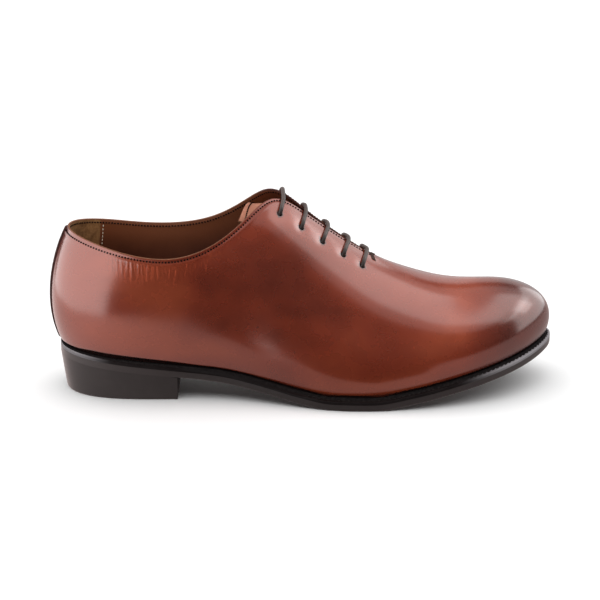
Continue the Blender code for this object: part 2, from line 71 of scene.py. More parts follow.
# Ribs of the last run up from the feather line, where upper and welt meet, to the top edge. A row is
# a pair of ribs, from the back of the heel to the toe. Leans are degrees from upright, outwards at
# the foot and inwards at the top, and pulls are shares of the rib's length.
FOOT = table(
    "x lateral_y medial_y lateral_lean medial_lean pull lateral_welt medial_welt",
    (3.8, 0.0, 0.0, 26, 26, 0.32, 0.4, 0.4),
    (9.3, -17.0, 17.0, 24, 24, 0.32, 0.7, 0.7),
    (28.0, -27.8, 27.2, 20, 20, 0.31, 1.3, 1.3),
    (54.0, -30.2, 29.6, 17, 16, 0.30, 1.5, 1.4),
    (80.0, -28.6, 28.0, 16, 12, 0.30, 2.0, 1.5),
    (103.0, -28.4, 26.0, 20, 8, 0.30, 2.6, 1.5),
    (122.0, -32.0, 26.0, 24, 8, 0.31, 3.2, 1.6),
    (139.0, -36.6, 28.5, 24, 10, 0.31, 3.7, 2.0),
    (154.0, -40.5, 32.5, 24, 14, 0.31, 4.0, 2.8),
    (170.0, -44.2, 37.5, 24, 18, 0.31, 4.2, 3.6),
    (188.0, -45.4, 42.0, 26, 22, 0.32, 4.3, 4.1),
    (207.0, -44.0, 45.0, 27, 24, 0.34, 4.3, 4.3),
    (226.0, -41.2, 46.0, 28, 26, 0.35, 4.3, 4.3),
    (245.0, -36.5, 44.5, 26, 25, 0.37, 4.3, 4.3),
    (263.0, -29.7, 41.2, 23, 23, 0.40, 4.3, 4.3),
    (280.3, -19.5, 36.0, 22, 22, 0.43, 4.0, 4.0),
    (294.2, -4.6, 28.0, 23, 23, 0.46, 3.3, 3.3),
    (302.6, 13.0, 13.0, 23, 23, 0.47, 2.8, 2.8),
)
TOP = table(
    "x lateral_y medial_y lateral_z medial_z lean pull",
    (10.6, 0.0, 0.0, 100.3, 100.3, 32, 0.34),
    (14.7, -13.5, 13.5, 99.4, 99.4, 25, 0.34),
    (31.0, -25.5, 25.5, 95.2, 95.9, 12, 0.33),
    (54.0, -31.5, 31.0, 89.4, 91.2, 6, 0.32),
    (77.0, -33.5, 33.0, 88.0, 90.3, 6, 0.32),
    (98.0, -31.0, 30.5, 95.0, 95.0, 20, 0.32),
    (115.5, -24.0, 23.5, 107.5, 106.8, 38, 0.30),
    (128.0, -12.0, 11.5, 118.8, 119.8, 54, 0.27),
    (139.0, -2.0, 2.0, 118.8, 122.0, 70, 0.25),
    (156.0, -1.8, 1.8, 106.0, 106.4, 73, 0.25),
    (175.0, -1.5, 1.5, 92.6, 92.6, 77, 0.27),
    (194.0, 0.0, 0.0, 80.2, 80.2, 84, 0.31),
    (213.0, 2.4, 2.4, 71.7, 71.7, 90, 0.34),
    (230.0, 4.8, 4.8, 65.5, 65.5, 90, 0.38),
    (244.0, 7.0, 7.0, 63.0, 63.0, 90, 0.43),
    (255.0, 9.0, 9.0, 62.8, 62.8, 90, 0.46),
    (262.5, 10.4, 10.4, 62.7, 62.7, 90, 0.50),
    (266.0, 11.0, 11.0, 62.5, 62.5, 90, 0.53),
)

# Rows where the instep, the ridge and the closed vamp begin
FIRST_INSTEP_ROW = 6
FIRST_RIDGE_ROW = 8
THROAT_ROW = 11
TOE_ROW = len(FOOT["x"]) - 1
RIB_COUNT = 2 * TOE_ROW

# Step in which slopes of the last are read, and how high up a rib they are read
SMALL_STEP = 0.01
NORMAL_CEILING = 0.97

# Underside of the outsole along the shoe, flat where the forefoot stands
PROFILE = table(
    "x underside",
    (0.0, 22.6),
    (77.0, 14.2),
    (104.0, 11.2),
    (132.0, 6.1),
    (150.0, 2.5),
    (169.0, 0.0),
    (193.0, 0.0),
    (218.0, 3.6),
    (246.0, 9.2),
    (304.0, 22.2),
)

# Mesh fineness
COARSE_PER_RIB = 12
FINE_PER_RIB = 48
FINE_RIBS = (0, 2, 3, 4, 5, 6)
OUTER_ROWS = 64
OUTER_ROW_CROWDING = 0.6
INNER_ROWS = 20
RIM_STEPS = 4
RUNG_STEPS = 10
SOLE_PER_RIB = 10
HEEL_STATIONS = 60
HEEL_BREAST_STEPS = 24
HEEL_SEARCH_STEPS = 400
TONGUE_LENGTH_STEPS = 60
TONGUE_WIDTH_STEPS = 40
EYELET_SIDES = 28
LACE_SIDES = 24
LACE_STEP = 0.35
ROUTE_STEPS = 24
SOLE_STATIONS = np.arange(RIB_COUNT * SOLE_PER_RIB) / SOLE_PER_RIB
SOLE_COLUMNS = len(SOLE_STATIONS)


# The last

def unit(vectors):
    """Vectors scaled to length one."""
    return vectors / np.linalg.norm(vectors, axis=-1, keepdims=True)


def smoothstep(low, high, value):
    """Soft step from 0 at low to 1 at high."""
    t = np.clip((np.asarray(value, dtype=float) - low) / (high - low), 0.0, 1.0)
    return t * t * (3 - 2 * t)


def between(limits, value):
    """Soft step up from the first limit to the second, and down from the third to the fourth."""
    start, full, easing, end = limits
    return smoothstep(start, full, value) * smoothstep(end, easing, value)


def profile(rows, name, x):
    """Smooth curve through a column of a table, without overshoot and with flat stretches kept flat."""
    xs = rows["x"]
    ys = rows[name]
    spans = np.diff(xs)
    slopes = np.diff(ys) / spans
    tangents = np.zeros(len(xs))
    tangents[0] = slopes[0]
    tangents[-1] = slopes[-1]
    for row in range(1, len(xs) - 1):
        before = slopes[row - 1]
        after = slopes[row]
        if before * after > 0:
            weight_before = 2 * spans[row] + spans[row - 1]
            weight_after = spans[row] + 2 * spans[row - 1]
            tangents[row] = (weight_before + weight_after) / (weight_before / before + weight_after / after)
    x = np.asarray(x, dtype=float)
    row = np.clip(np.searchsorted(xs, x, side="right") - 1, 0, len(xs) - 2)
    t = (x - xs[row]) / spans[row]
    start = ys[row] * (1 + 2 * t) * (1 - t) ** 2 + tangents[row] * spans[row] * t * (1 - t) ** 2
    end = ys[row + 1] * t * t * (3 - 2 * t) + tangents[row + 1] * spans[row] * t * t * (t - 1)
    return start + end


def underside(x):
    """Height of the outsole's underside."""
    return profile(PROFILE, "underside", x)


def around_shoe(rows, name):
    """Column of a table from heel to toe on the lateral side, then back to the heel on the medial side."""
    lateral = rows[name] if name in rows else rows["lateral_" + name]
    medial = rows[name] if name in rows else rows["medial_" + name]
    return np.concatenate((lateral, medial[TOE_ROW - 1:0:-1]))


def closed_spline(rows, stations):
    """Smooth closed curve drawn by the rows, at stations counted in rows from the heel."""
    stations = np.asarray(stations, dtype=float)
    first = np.floor(stations).astype(int)
    t = stations - first
    weights = (
        (1 - t) ** 3 / 6,
        (3 * t ** 3 - 6 * t ** 2 + 4) / 6,
        (-3 * t ** 3 + 3 * t ** 2 + 3 * t + 1) / 6,
        t ** 3 / 6,
    )
    shape = (len(stations),) + (1,) * (rows.ndim - 1)
    return sum(w.reshape(shape) * rows[(first + i - 1) % RIB_COUNT] for i, w in enumerate(weights))


def rib_controls():
    """Four control points of each rib around the shoe: foot, foot handle, top handle and top."""
    foot_x = around_shoe(FOOT, "x")
    foot_points = np.column_stack((foot_x, around_shoe(FOOT, "y"), underside(foot_x) + FEATHER_HEIGHT))
    top_points = np.column_stack([around_shoe(TOP, name) for name in ("x", "y", "z")])
    places = np.arange(RIB_COUNT)
    row = np.minimum(places, RIB_COUNT - places)

    along = np.roll(foot_points[:, :2], -1, axis=0) - np.roll(foot_points[:, :2], 1, axis=0)
    inward = unit(np.column_stack((-along[:, 1], along[:, 0])))
    across = unit(top_points[:, :2] - foot_points[:, :2])
    heading = np.where((row >= FIRST_INSTEP_ROW)[:, None], across, inward)

    ridge_slope = np.gradient(TOP["lateral_z"]) / np.gradient(TOP["x"])
    ridge_slope[:FIRST_RIDGE_ROW] = 0.0

    foot_lean = np.radians(around_shoe(FOOT, "lean"))[:, None]
    top_lean = np.radians(around_shoe(TOP, "lean"))[:, None]
    foot_direction = np.hstack((-inward * np.sin(foot_lean), np.cos(foot_lean)))
    climb = np.cos(top_lean[:, 0]) + np.sin(top_lean[:, 0]) * heading[:, 0] * ridge_slope[row]
    top_direction = unit(np.column_stack((heading * np.sin(top_lean), climb)))

    length = np.linalg.norm(top_points - foot_points, axis=1)
    foot_handles = foot_points + foot_direction * (around_shoe(FOOT, "pull") * length)[:, None]
    top_handles = top_points - top_direction * (around_shoe(TOP, "pull") * length)[:, None]
    return np.stack((foot_points, foot_handles, top_handles, top_points), axis=1)


RIBS = rib_controls()
WELT_REACH = around_shoe(FOOT, "welt")


def last_surface(stations, heights):
    """Outer face of the upper: points at stations around the shoe and shares of the rib's height."""
    ribs = closed_spline(RIBS, stations)
    t = np.asarray(heights, dtype=float)[None, :, None]
    foot = ribs[:, None, 0] * (1 - t) ** 3 + 3 * ribs[:, None, 1] * (1 - t) ** 2 * t
    top = 3 * ribs[:, None, 2] * (1 - t) * t ** 2 + ribs[:, None, 3] * t ** 3
    return foot + top


def last_normals(stations, heights):
    """Outward unit normals of the last's surface, read just below the ridge."""
    stations = np.asarray(stations, dtype=float)
    heights = np.clip(np.asarray(heights, dtype=float), 0.0, NORMAL_CEILING)
    around = last_surface(stations + SMALL_STEP, heights) - last_surface(stations - SMALL_STEP, heights)
    upwards = last_surface(stations, heights + SMALL_STEP) - last_surface(stations, heights - SMALL_STEP)
    return unit(np.cross(around, upwards))


def lifted_point(station, height, lift):
    """Point that stands off the upper's outer face."""
    return last_surface([station], [height])[0, 0] + lift * last_normals([station], [height])[0, 0]


def feather_offset(stations, outwards):
    """Plan points at a distance outside the feather line."""
    foot = RIBS[:, 0]
    ahead = closed_spline(foot, np.asarray(stations) + SMALL_STEP)
    behind = closed_spline(foot, np.asarray(stations) - SMALL_STEP)
    along = unit((ahead - behind)[:, :2])
    outward = np.column_stack((along[:, 1], -along[:, 0]))
    return closed_spline(foot, stations)[:, :2] + outward * np.reshape(outwards, (-1, 1))


def sole_edge(stations, inset=0.0):
    """Plan points of the edge that welt and outsole share."""
    return feather_offset(stations, closed_spline(WELT_REACH, stations) - inset)


def standing_on_sole(plan, height):
    """Plan points lifted to a height over the outsole's underside."""
    return np.column_stack((plan, underside(plan[:, 0]) + height))


def frame_shift():
    """Shift from the shoe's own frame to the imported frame, read from the outsole's box."""
    low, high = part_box("outsole")
    edge = sole_edge(SOLE_STATIONS)
    shift_x = high.x / MM - edge[:, 0].max()
    shift_y = (low.y + high.y) / 2 / MM - (edge[:, 1].min() + edge[:, 1].max()) / 2
    return np.array((shift_x, shift_y, 0.0))


SHIFT = frame_shift()


# Faces over grids and loops of points

def grid_faces(numbers):
    """Four-sided faces between the neighbours in a grid of point numbers."""
    corners = (numbers[:-1, :-1], numbers[1:, :-1], numbers[1:, 1:], numbers[:-1, 1:])
    return np.stack(corners, axis=-1).reshape(-1, 4).tolist()


def grid_rim(numbers):
    """Point numbers round the edge of a grid."""
    return np.concatenate((numbers[:, 0], numbers[-1, 1:], numbers[-2::-1, -1], numbers[0, -2:0:-1]))


def sheet_mesh(face, back, bulge=0.0):
    """Closed sheet between two grids, with a rounded edge if it bulges."""
    points = np.concatenate((face.reshape(-1, 3), back.reshape(-1, 3)))
    numbers = np.arange(len(points)).reshape(2, *face.shape[:2])
    rims = [grid_rim(side) for side in numbers]
    if bulge:
        inside = grid_rim(np.pad(numbers[0, 1:-1, 1:-1], 1, mode="edge"))
        outward = unit(points[rims[0]] - points[inside])
        middle = (points[rims[0]] + points[rims[1]]) / 2 + bulge * outward
        rims.insert(1, len(points) + np.arange(len(middle)))
        points = np.concatenate((points, middle))
    edge = np.column_stack(rims)
    edge = np.vstack((edge, edge[:1]))
    return points, grid_faces(numbers[0]) + grid_faces(numbers[1]) + grid_faces(edge)


def loop_faces(levels, count, closed=False):
    """Faces over loops of points, from the first to the last and, if closed, back to the first."""
    numbers = np.arange(levels * count).reshape(levels, count)
    if closed:
        numbers = np.vstack((numbers, numbers[:1]))
    return grid_faces(np.hstack((numbers, numbers[:, :1])).T)


def capped_faces(levels, count):
    """Faces over loops of points, with a flat cap on the first and on the last."""
    first = list(range(count))
    last = [number + (levels - 1) * count for number in first]
    return loop_faces(levels, count) + [first[::-1], last]


def join_meshes(shapes):
    """One mesh of several."""
    points = []
    faces = []
    count = 0
    for shape_points, shape_faces in shapes:
        points.append(shape_points)
        faces += [[number + count for number in face] for face in shape_faces]
        count += len(shape_points)
    return np.concatenate(points), faces


# Upper

# Eyelets from the top one down, as a place along the ribs and a share of the rib's height
EYELETS = ((7.65, 0.887), (8.48, 0.840), (9.20, 0.833), (9.85, 0.825), (10.43, 0.815))
EYELET_RADIUS = 1.7
EYELET_CUT_DEPTH = 10.0
EYELET_HOLLOW = 0.35
EYELET_HOLLOW_WIDTH = 3.2
EYELET_DARK_RING = (2.6, 1.8)

# Fine pleats of the leather under the collar's edge: where each starts along the shoe, how far
# it leans forwards for each millimetre down, its distance from the edge, length and height
PLEATS = (
    (38.5, 0.15, 3.4, 6.0, 0.05),
    (43.0, 0.05, 3.2, 9.0, 0.10),
    (45.6, 0.10, 3.8, 12.0, 0.09),
    (49.4, -0.05, 3.0, 9.0, 0.14),
    (51.6, 0.05, 3.4, 14.0, 0.16),
    (55.8, 0.00, 3.0, 11.0, 0.18),
    (57.5, 0.12, 4.4, 15.0, 0.12),
    (61.2, 0.05, 3.2, 12.0, 0.17),
    (63.0, 0.20, 5.0, 9.0, 0.10),
    (66.9, 0.15, 3.2, 14.0, 0.13),
    (71.4, 0.30, 3.6, 9.0, 0.10),
    (76.0, 0.35, 3.4, 13.0, 0.10),
    (83.6, 0.50, 3.4, 10.0, 0.07),
    (97.5, 0.60, 3.6, 9.0, 0.09),
    (101.8, 0.62, 3.4, 11.0, 0.11),
    (106.6, 0.70, 3.6, 8.0, 0.08),
)

# All pleats: half width, scale of the heights, share of the length in which they rise, how fast they
# run out, depth of the troughs, and how far forwards they lie on the medial side
PLEAT_HALF_WIDTH = 0.6
PLEAT_SCALE = 0.9
PLEAT_RISE = 0.12
PLEAT_FALL = 1.2
PLEAT_TROUGH = 0.4
MEDIAL_PLEAT_SHIFT = 4.0

# Where the leather under the collar is finely wrinkled: along the shoe, and down from the cut edge
WRINKLES_ALONG = (32.0, 46.0, 98.0, 118.0)
WRINKLES_DOWN = (2.6, 4.6, 7.0, 19.0)

# Seam along the cut edge: its distance from the edge along the shoe, its groove and the swell below it
SEAM = table("x distance", (-2.0, 2.6), (24.0, 2.5), (60.0, 1.6), (310.0, 1.5))
SEAM_GROOVE = 0.28
SEAM_GROOVE_WIDTH = 0.7
SEAM_SWELL = 0.16
SEAM_SWELL_DISTANCE = 1.5
SEAM_SWELL_WIDTH = 0.8

# Cut edge, which is pared thinner from inside
RIM_BULGE = 0.45
SKIVE = 0.8
SKIVE_REACH = 9.0

# Crease over the welt, painted black as edge dye and painted shade: how high it climbs on the upper, along
# the shoe
CREASE = table(
    "x height",
    (-2.0, 0.3),
    (16.0, 0.9),
    (27.0, 2.4),
    (40.0, 2.4),
    (66.0, 1.8),
    (80.0, 1.0),
    (92.0, 0.2),
    (306.0, 0.2),
)
CREASE_FADE = 1.4
CREASE_TUCK = 1.4

# Suede grip inside the heel
GRIP_STATION = 1.86
GRIP_THICKNESS = 0.5
GRIP_STITCH_STATION = 1.94
GRIP_STITCH_ROWS = slice(2, -1)

# Soft patches of lighter and darker colour, part patina of the dye and part painted light and shade: place
# along the shoe and up from the floor, how far the patch reaches each way, and how much lighter or darker it
# is
PATINA_AND_PAINTED_LIGHT = (
    (51.0, 78.0, 18.0, 18.0, 1.1),
    (74.0, 64.0, 20.0, 12.0, 1.3),
    (132.0, 66.0, 40.0, 20.0, -1.1),
    (166.0, 38.0, 20.0, 9.0, -0.4),
    (186.0, 46.0, 22.0, 10.0, 0.5),
    (232.0, 42.0, 24.0, 12.0, 1.0),
    (200.0, 28.0, 24.0, 8.0, -0.3),
    (24.0, 52.0, 18.0, 26.0, 0.6),
    (96.0, 32.0, 36.0, 9.0, 1.4),
    (56.0, 38.0, 26.0, 11.0, 1.4),
    (244.0, 63.0, 40.0, 6.0, 1.2),
    (70.0, 50.0, 30.0, 10.0, 0.7),
    (180.0, 13.0, 50.0, 8.0, 1.0),
)

# Burnish of the toe, which starts further back lower down, and of the cut edge, and how far down from that
# edge the lining gets painted light
TOE_BURNISH = 0.88
TOE_BURNISH_SPAN = (250.0, 284.0)
TOE_BURNISH_SLANT = 0.25
TOE_TOP = 60.0
EDGE_BURNISH = 0.25
EDGE_BURNISH_REACH = (6.0, 1.0)
RIM_BURNISH_STATIONS = (6.2, 7.4)
LINING_PAINTED_LIGHT_REACH = (24.0, 1.0)

# Finishes of the upper's faces, and channels of the colours painted on its points
LEATHER_FACE, EDGE_FACE, LINING_FACE, GRIP_FACE = range(4)
CHANNELS = 4


def loop_stations():
    """Stations around the shoe, closer together at the back seam and under the collar's edge."""
    counts = [FINE_PER_RIB if rib in FINE_RIBS else COARSE_PER_RIB for rib in range(TOE_ROW)]
    lateral = [rib + np.arange(count) / count for rib, count in enumerate(counts)]
    lateral = np.concatenate(lateral + [np.array([TOE_ROW])])
    return np.concatenate((lateral, RIB_COUNT - lateral[-2:0:-1]))


STATIONS = loop_stations()
COLUMNS = len(STATIONS)
TOE_COLUMN = COLUMNS // 2
THROAT_COLUMN = int(np.searchsorted(STATIONS[:TOE_COLUMN], THROAT_ROW))
EVEN_HEIGHTS = np.linspace(0.0, 1.0, OUTER_ROWS + 1)
CROWDED_HEIGHTS = (1 - np.cos(math.pi * EVEN_HEIGHTS)) / 2
OUTER_HEIGHTS = EVEN_HEIGHTS + OUTER_ROW_CROWDING * (CROWDED_HEIGHTS - EVEN_HEIGHTS)
INNER_HEIGHTS = np.linspace(0.0, 1.0, INNER_ROWS + 1)
FROM_HEEL = np.minimum(STATIONS, RIB_COUNT - STATIONS)
OPEN_COLUMNS = np.arange(THROAT_COLUMN, -THROAT_COLUMN - 1, -1) % COLUMNS


def joined_wall(heights):
    """Points and normals of the last, with the two sides joined along the vamp's ridge."""
    points = last_surface(STATIONS, heights)
    normals = last_normals(STATIONS, heights)
    for lateral in range(THROAT_COLUMN, TOE_COLUMN):
        medial = COLUMNS - lateral
        points[lateral, -1] = points[medial, -1] = (points[lateral, -1] + points[medial, -1]) / 2
        normals[lateral, -1] = normals[medial, -1] = unit(normals[lateral, -1] + normals[medial, -1])
    return points, normals


def eyelet_frames():
    """Centre and outward direction of every eyelet, on both facings."""
    places = [(side * station, height) for station, height in EYELETS for side in (1, -1)]
    return [(last_surface([station], [height])[0, 0], last_normals([station], [height])[0, 0])
            for station, height in places]


def edge_distances(points, edge):
    """Distance of each point of a grid from the collar's and the facings' cut edge."""
    distances = np.empty(points.shape[:2])
    for place in range(len(points)):
        gaps = points[place][:, None, :] - edge[None, :, :]
        distances[place] = np.sqrt((gaps ** 2).sum(axis=2).min(axis=1))
    return distances


def cut_edge(points):
    """Points along the open top edge, from the lateral throat round the heel to the medial one."""
    edge = points[OPEN_COLUMNS, -1]
    halves = (edge[1:] + edge[:-1]) / 2
    return np.concatenate((edge, halves))


def pleat_relief(points, from_edge):
    """Height of the fine pleats under the collar's edge, with shallow troughs beside them."""
    relief = np.zeros(points.shape[:2])
    medial = points[..., 1] > 0
    x = points[..., 0] - np.where(medial, MEDIAL_PLEAT_SHIFT, 0.0)
    for start_x, lean, start, length, height in PLEATS:
        down = from_edge - start
        share = np.clip(down / length, 0.0, 1.0)
        fade = smoothstep(0.0, PLEAT_RISE, share) * (1 - share) ** PLEAT_FALL
        across = (x - start_x - lean * down) / PLEAT_HALF_WIDTH
        section = np.exp(-across ** 2) - PLEAT_TROUGH * np.exp(-(across / 2) ** 2)
        relief += PLEAT_SCALE * height * fade * section
    return relief


def seam_relief(points, from_edge):
    """Height that the sewn edge and the hollows round the eyelets add to the outer face."""
    from_seam = from_edge - profile(SEAM, "distance", points[..., 0])
    groove = np.exp(-(from_seam / SEAM_GROOVE_WIDTH) ** 2)
    swell = np.exp(-((from_seam - SEAM_SWELL_DISTANCE) / SEAM_SWELL_WIDTH) ** 2)
    relief = SEAM_SWELL * swell - SEAM_GROOVE * groove
    for centre, _ in eyelet_frames():
        reach = ((points - centre) ** 2).sum(axis=2) / EYELET_HOLLOW_WIDTH ** 2
        relief -= EYELET_HOLLOW * np.exp(-reach)
    return relief


def crease_dye_shade_and_tuck(points):
    """How much edge dye and painted shade darken points in the crease over the welt, and how far they are
    tucked in, from 0 to 1.
    """
    x = points[..., 0]
    above = points[..., 2] - underside(x) - FEATHER_HEIGHT
    reach = profile(CREASE, "height", x)
    return smoothstep(CREASE_FADE, 0.0, above - reach), smoothstep(reach + CREASE_FADE, 0.0, above)


def eyelet_dark_rings(points):
    """Dark rings painted on the leather around the eyelets."""
    away = [np.sqrt(((points - centre) ** 2).sum(axis=2)) for centre, _ in eyelet_frames()]
    return smoothstep(*EYELET_DARK_RING, np.min(away, axis=0))


def rim_points(outer, inner):
    """Rounded cut edge between the outer and the inner face, flat where the throat closes."""
    climb = unit(outer[:, -1] - outer[:, -2])
    taper = smoothstep(THROAT_ROW, THROAT_ROW - 1.0, FROM_HEEL)
    rim = []
    for step in range(1, RIM_STEPS):
        turn = math.pi * step / RIM_STEPS
        share = (1 - math.cos(turn)) / 2
        bulge = (RIM_BULGE * math.sin(turn) * taper)[:, None]
        rim.append(outer[:, -1] * (1 - share) + inner[:, -1] * share + climb * bulge)
    return np.stack(rim, axis=1)


def upper_walls():
    """Outer face with its relief, inner face and rounded rim, and what the finish needs to know."""
    outer, outer_normals = joined_wall(OUTER_HEIGHTS)
    inner, inner_normals = joined_wall(INNER_HEIGHTS)
    edge = cut_edge(outer)
    from_edge = edge_distances(outer, edge)
    pleats = pleat_relief(outer, from_edge)
    relief = seam_relief(outer, from_edge) + pleats
    crease_dye_and_shade, tuck = crease_dye_shade_and_tuck(outer)
    inner_from_edge = edge_distances(inner, edge)
    skive = smoothstep(SKIVE_REACH, 0.0, inner_from_edge)
    grip = np.where(FROM_HEEL < GRIP_STATION, GRIP_THICKNESS, 0.0)[:, None]
    thickness = WALL - SKIVE * skive + grip * (1 - skive)
    inner = inner - thickness[..., None] * inner_normals
    inner[:, 0] = standing_on_sole(feather_offset(STATIONS, np.full(COLUMNS, -WALL)), FEATHER_HEIGHT)
    outer = outer + (relief - CREASE_TUCK * tuck)[..., None] * outer_normals
    outer[:, 0, 2] = underside(outer[:, 0, 0]) + FEATHER_HEIGHT
    return {"outer": outer, "inner": inner, "rim": rim_points(outer, inner),
            "outer_normals": outer_normals, "inner_normals": inner_normals,
            "from_edge": from_edge, "inner_from_edge": inner_from_edge,
            "pleats": pleats, "crease_dye_and_shade": crease_dye_and_shade, "dark_rings": eyelet_dark_rings(outer)}


def wall_numbers(first, rows, joined_rows=1):
    """Point numbers of a wall, with the two sides joined in its last rows where the top is closed."""
    numbers = first + np.arange(COLUMNS * rows).reshape(COLUMNS, rows)
    closed = np.arange(TOE_COLUMN + 1, COLUMNS - THROAT_COLUMN + 1)
    numbers[closed, -joined_rows:] = numbers[COLUMNS - closed, -joined_rows:]
    return numbers


def upper_mesh(walls):
    """Points, faces and each face's finish of the hollow upper."""
    points = np.concatenate([walls[name].reshape(-1, 3) for name in ("outer", "inner", "rim")])
    outer = wall_numbers(0, OUTER_ROWS + 1)
    inner = wall_numbers(outer.size, INNER_ROWS + 1)
    rim = wall_numbers(outer.size + inner.size, RIM_STEPS - 1, joined_rows=RIM_STEPS - 1)
    foot = np.column_stack((outer[:, 0], inner[:, 0]))
    edge = np.column_stack((outer[:, -1], rim, inner[:, -1]))
    around = np.arange(COLUMNS + 1) % COLUMNS
    middles = STATIONS + 0.5 / FINE_PER_RIB
    in_grip = np.minimum(middles, RIB_COUNT - middles) < GRIP_STATION
    inside = np.where(in_grip, GRIP_FACE, LINING_FACE)[::-1]
    sheets = (
        (grid_faces(outer[around]), LEATHER_FACE),
        (grid_faces(inner[around[::-1]]), np.repeat(inside, INNER_ROWS)),
        (grid_faces(foot[around[::-1]]), LINING_FACE),
        (grid_faces(edge[OPEN_COLUMNS[::-1]]), EDGE_FACE),
    )
    faces = sum((sheet for sheet, _ in sheets), [])
    finishes = np.concatenate([np.broadcast_to(finish, len(sheet)) for sheet, finish in sheets])
    return points, faces, finishes


def upper_finish(walls):
    """Colours with burnish, black crease of edge dye and painted shade, dark rings round the eyelets, pleats
    and wrinkles of the outer face, the lining's painted light or the rim's burnish, and the tone of the dye
    with its painted light and shade."""
    outer = walls["outer"]
    x = outer[..., 0]
    z = outer[..., 2]
    toe = TOE_BURNISH * smoothstep(*TOE_BURNISH_SPAN, x + TOE_BURNISH_SLANT * (TOE_TOP - z))
    edge = EDGE_BURNISH * smoothstep(*EDGE_BURNISH_REACH, walls["from_edge"])
    tone = np.zeros(x.shape)
    # Tone of the dye from patina and painted light and shade
    for place_x, place_z, reach_x, reach_z, strength in PATINA_AND_PAINTED_LIGHT:
        away = ((x - place_x) / reach_x) ** 2 + ((z - place_z) / reach_z) ** 2
        tone += strength * np.exp(-away)
    # Painted on the outer face: burnish; black of edge dye and painted shade in the crease, with the dark
    # rings round the eyelets; pleats; wrinkles
    outer_colours = np.stack((
        np.clip(toe + edge, 0.0, 1.0),
        np.maximum(walls["crease_dye_and_shade"], walls["dark_rings"]),
        np.clip(walls["pleats"] / walls["pleats"].max(), 0.0, 1.0),
        between(WRINKLES_ALONG, x) * between(WRINKLES_DOWN, walls["from_edge"]),
    ), axis=-1)
    inner_colours = np.zeros(walls["inner"].shape[:2] + (CHANNELS,))
    # Painted light on the lining near the cut edge
    inner_colours[..., 0] = smoothstep(*LINING_PAINTED_LIGHT_REACH, walls["inner_from_edge"])
    rim_colours = np.zeros(walls["rim"].shape[:2] + (CHANNELS,))
    rim_colours[..., 0] = smoothstep(*RIM_BURNISH_STATIONS, FROM_HEEL)[:, None]
    parts = (outer_colours, inner_colours, rim_colours)
    colours = np.concatenate([part.reshape(-1, CHANNELS) for part in parts])
    tones = np.zeros(len(colours))
    tones[:tone.size] = tone.ravel()
    return colours, tones


def eyelet_cutter_mesh():
    """Short pegs through both facings, one for each eyelet."""
    turns = np.linspace(0.0, 2 * math.pi, EYELET_SIDES, endpoint=False)[:, None]
    pegs = []
    for centre, outward in eyelet_frames():
        sideways = unit(np.cross(outward, (1.0, 0.0, 0.0)))
        upwards = np.cross(outward, sideways)
        rim = sideways * np.cos(turns) + upwards * np.sin(turns)
        ends = [centre + outward * depth + rim * EYELET_RADIUS
                for depth in (-EYELET_CUT_DEPTH / 2, EYELET_CUT_DEPTH / 2)]
        pegs.append((np.concatenate(ends), capped_faces(2, EYELET_SIDES)))
    return join_meshes(pegs)


# Strip over the back seam: its thickness, half its width in ribs, the share of the heel's height that it
# reaches, its bed in the leather, how fast its ends run out, how round its sides are, and its steps
# across and along
BACK_STRIP_THICKNESS = 0.9
BACK_STRIP_HALF_WIDTH = 0.16
BACK_STRIP_TOP = 0.99
BACK_STRIP_BED = 0.15
BACK_STRIP_END_STEEPNESS = 60.0
BACK_STRIP_ROUNDNESS = 6
BACK_STRIP_STEPS = (20, 100)


def back_strip_mesh():
    """Narrow leather strip over the back seam, with rounded edges that lie on the upper."""
    across = np.linspace(-1.0, 1.0, BACK_STRIP_STEPS[0] + 1)
    along = np.linspace(0.0, 1.0, BACK_STRIP_STEPS[1] + 1)
    stations = BACK_STRIP_HALF_WIDTH * across
    points = last_surface(stations, BACK_STRIP_TOP * along)
    normals = last_normals(stations, BACK_STRIP_TOP * along)
    ends = np.clip(np.minimum(along, 1 - along) * BACK_STRIP_END_STEEPNESS, 0.0, 1.0)
    round_off = (1 - across[:, None] ** BACK_STRIP_ROUNDNESS) * np.sqrt(ends)[None, :]
    lift = (SEAT_GAP + BACK_STRIP_THICKNESS) * round_off
    return sheet_mesh(points + lift[..., None] * normals, points - BACK_STRIP_BED * normals)


# Sole

# Section of the outsole's edge and of the insole's: how far it is drawn in, at each height. The outsole
# is drawn in only before the heel, which fades in over a short stretch.
EDGE_SECTION = ((0.9, 0.0), (0.35, 0.1), (0.08, 0.35), (0.0, 0.8), (0.0, 2.0), (0.0, 3.2), (0.0, 3.97))
INSOLE_SECTION = ((0.0, 0.0), (0.0, 3.9), (0.3, 4.6), (1.0, INSOLE_THICKNESS))
SEAT_FADE = 3.0

# Section of the welt before the waist and in it: share of the way out to the edge, and height
WELT_SECTION = np.array((
    (1.0, 0.0), (1.0, 1.2), (0.985, 1.5), (0.94, 1.70), (0.86, 1.80), (0.62, 1.92), (0.40, 2.06),
    (0.22, 2.30), (0.08, 2.62), (0.0, 2.9)))
WAIST_SECTION = np.array((
    (1.0, 0.0), (1.0, 0.15), (0.985, 0.4), (0.93, 0.65), (0.86, 0.85), (0.68, 1.25), (0.50, 1.68),
    (0.32, 2.12), (0.14, 2.56), (0.0, 2.9)))
WAIST_SPAN = (70.0, 88.0, 138.0, 166.0)
# Loop from which the welt's top is matt black, as black dye and painted shade
WELT_TOP_LOOP = 7
WELT_RIM, WELT_TOP = range(2)

# Side of the heel from its foot to its seat: share of the height, and how far it is drawn in
HEEL_SECTION = (
    (0.0, 0.7), (0.008, 0.28), (0.03, 0.06), (0.07, 0.0), (0.3, 0.0), (0.55, 0.0), (0.8, 0.0), (1.0, 0.0))
HEEL_SEAT_GAP = 0.02
BREAST_MARGIN = 0.01
# Finishes of the heel's side and of its breast, which is black for painted shade
HEEL_FACE, BREAST_FACE = range(2)


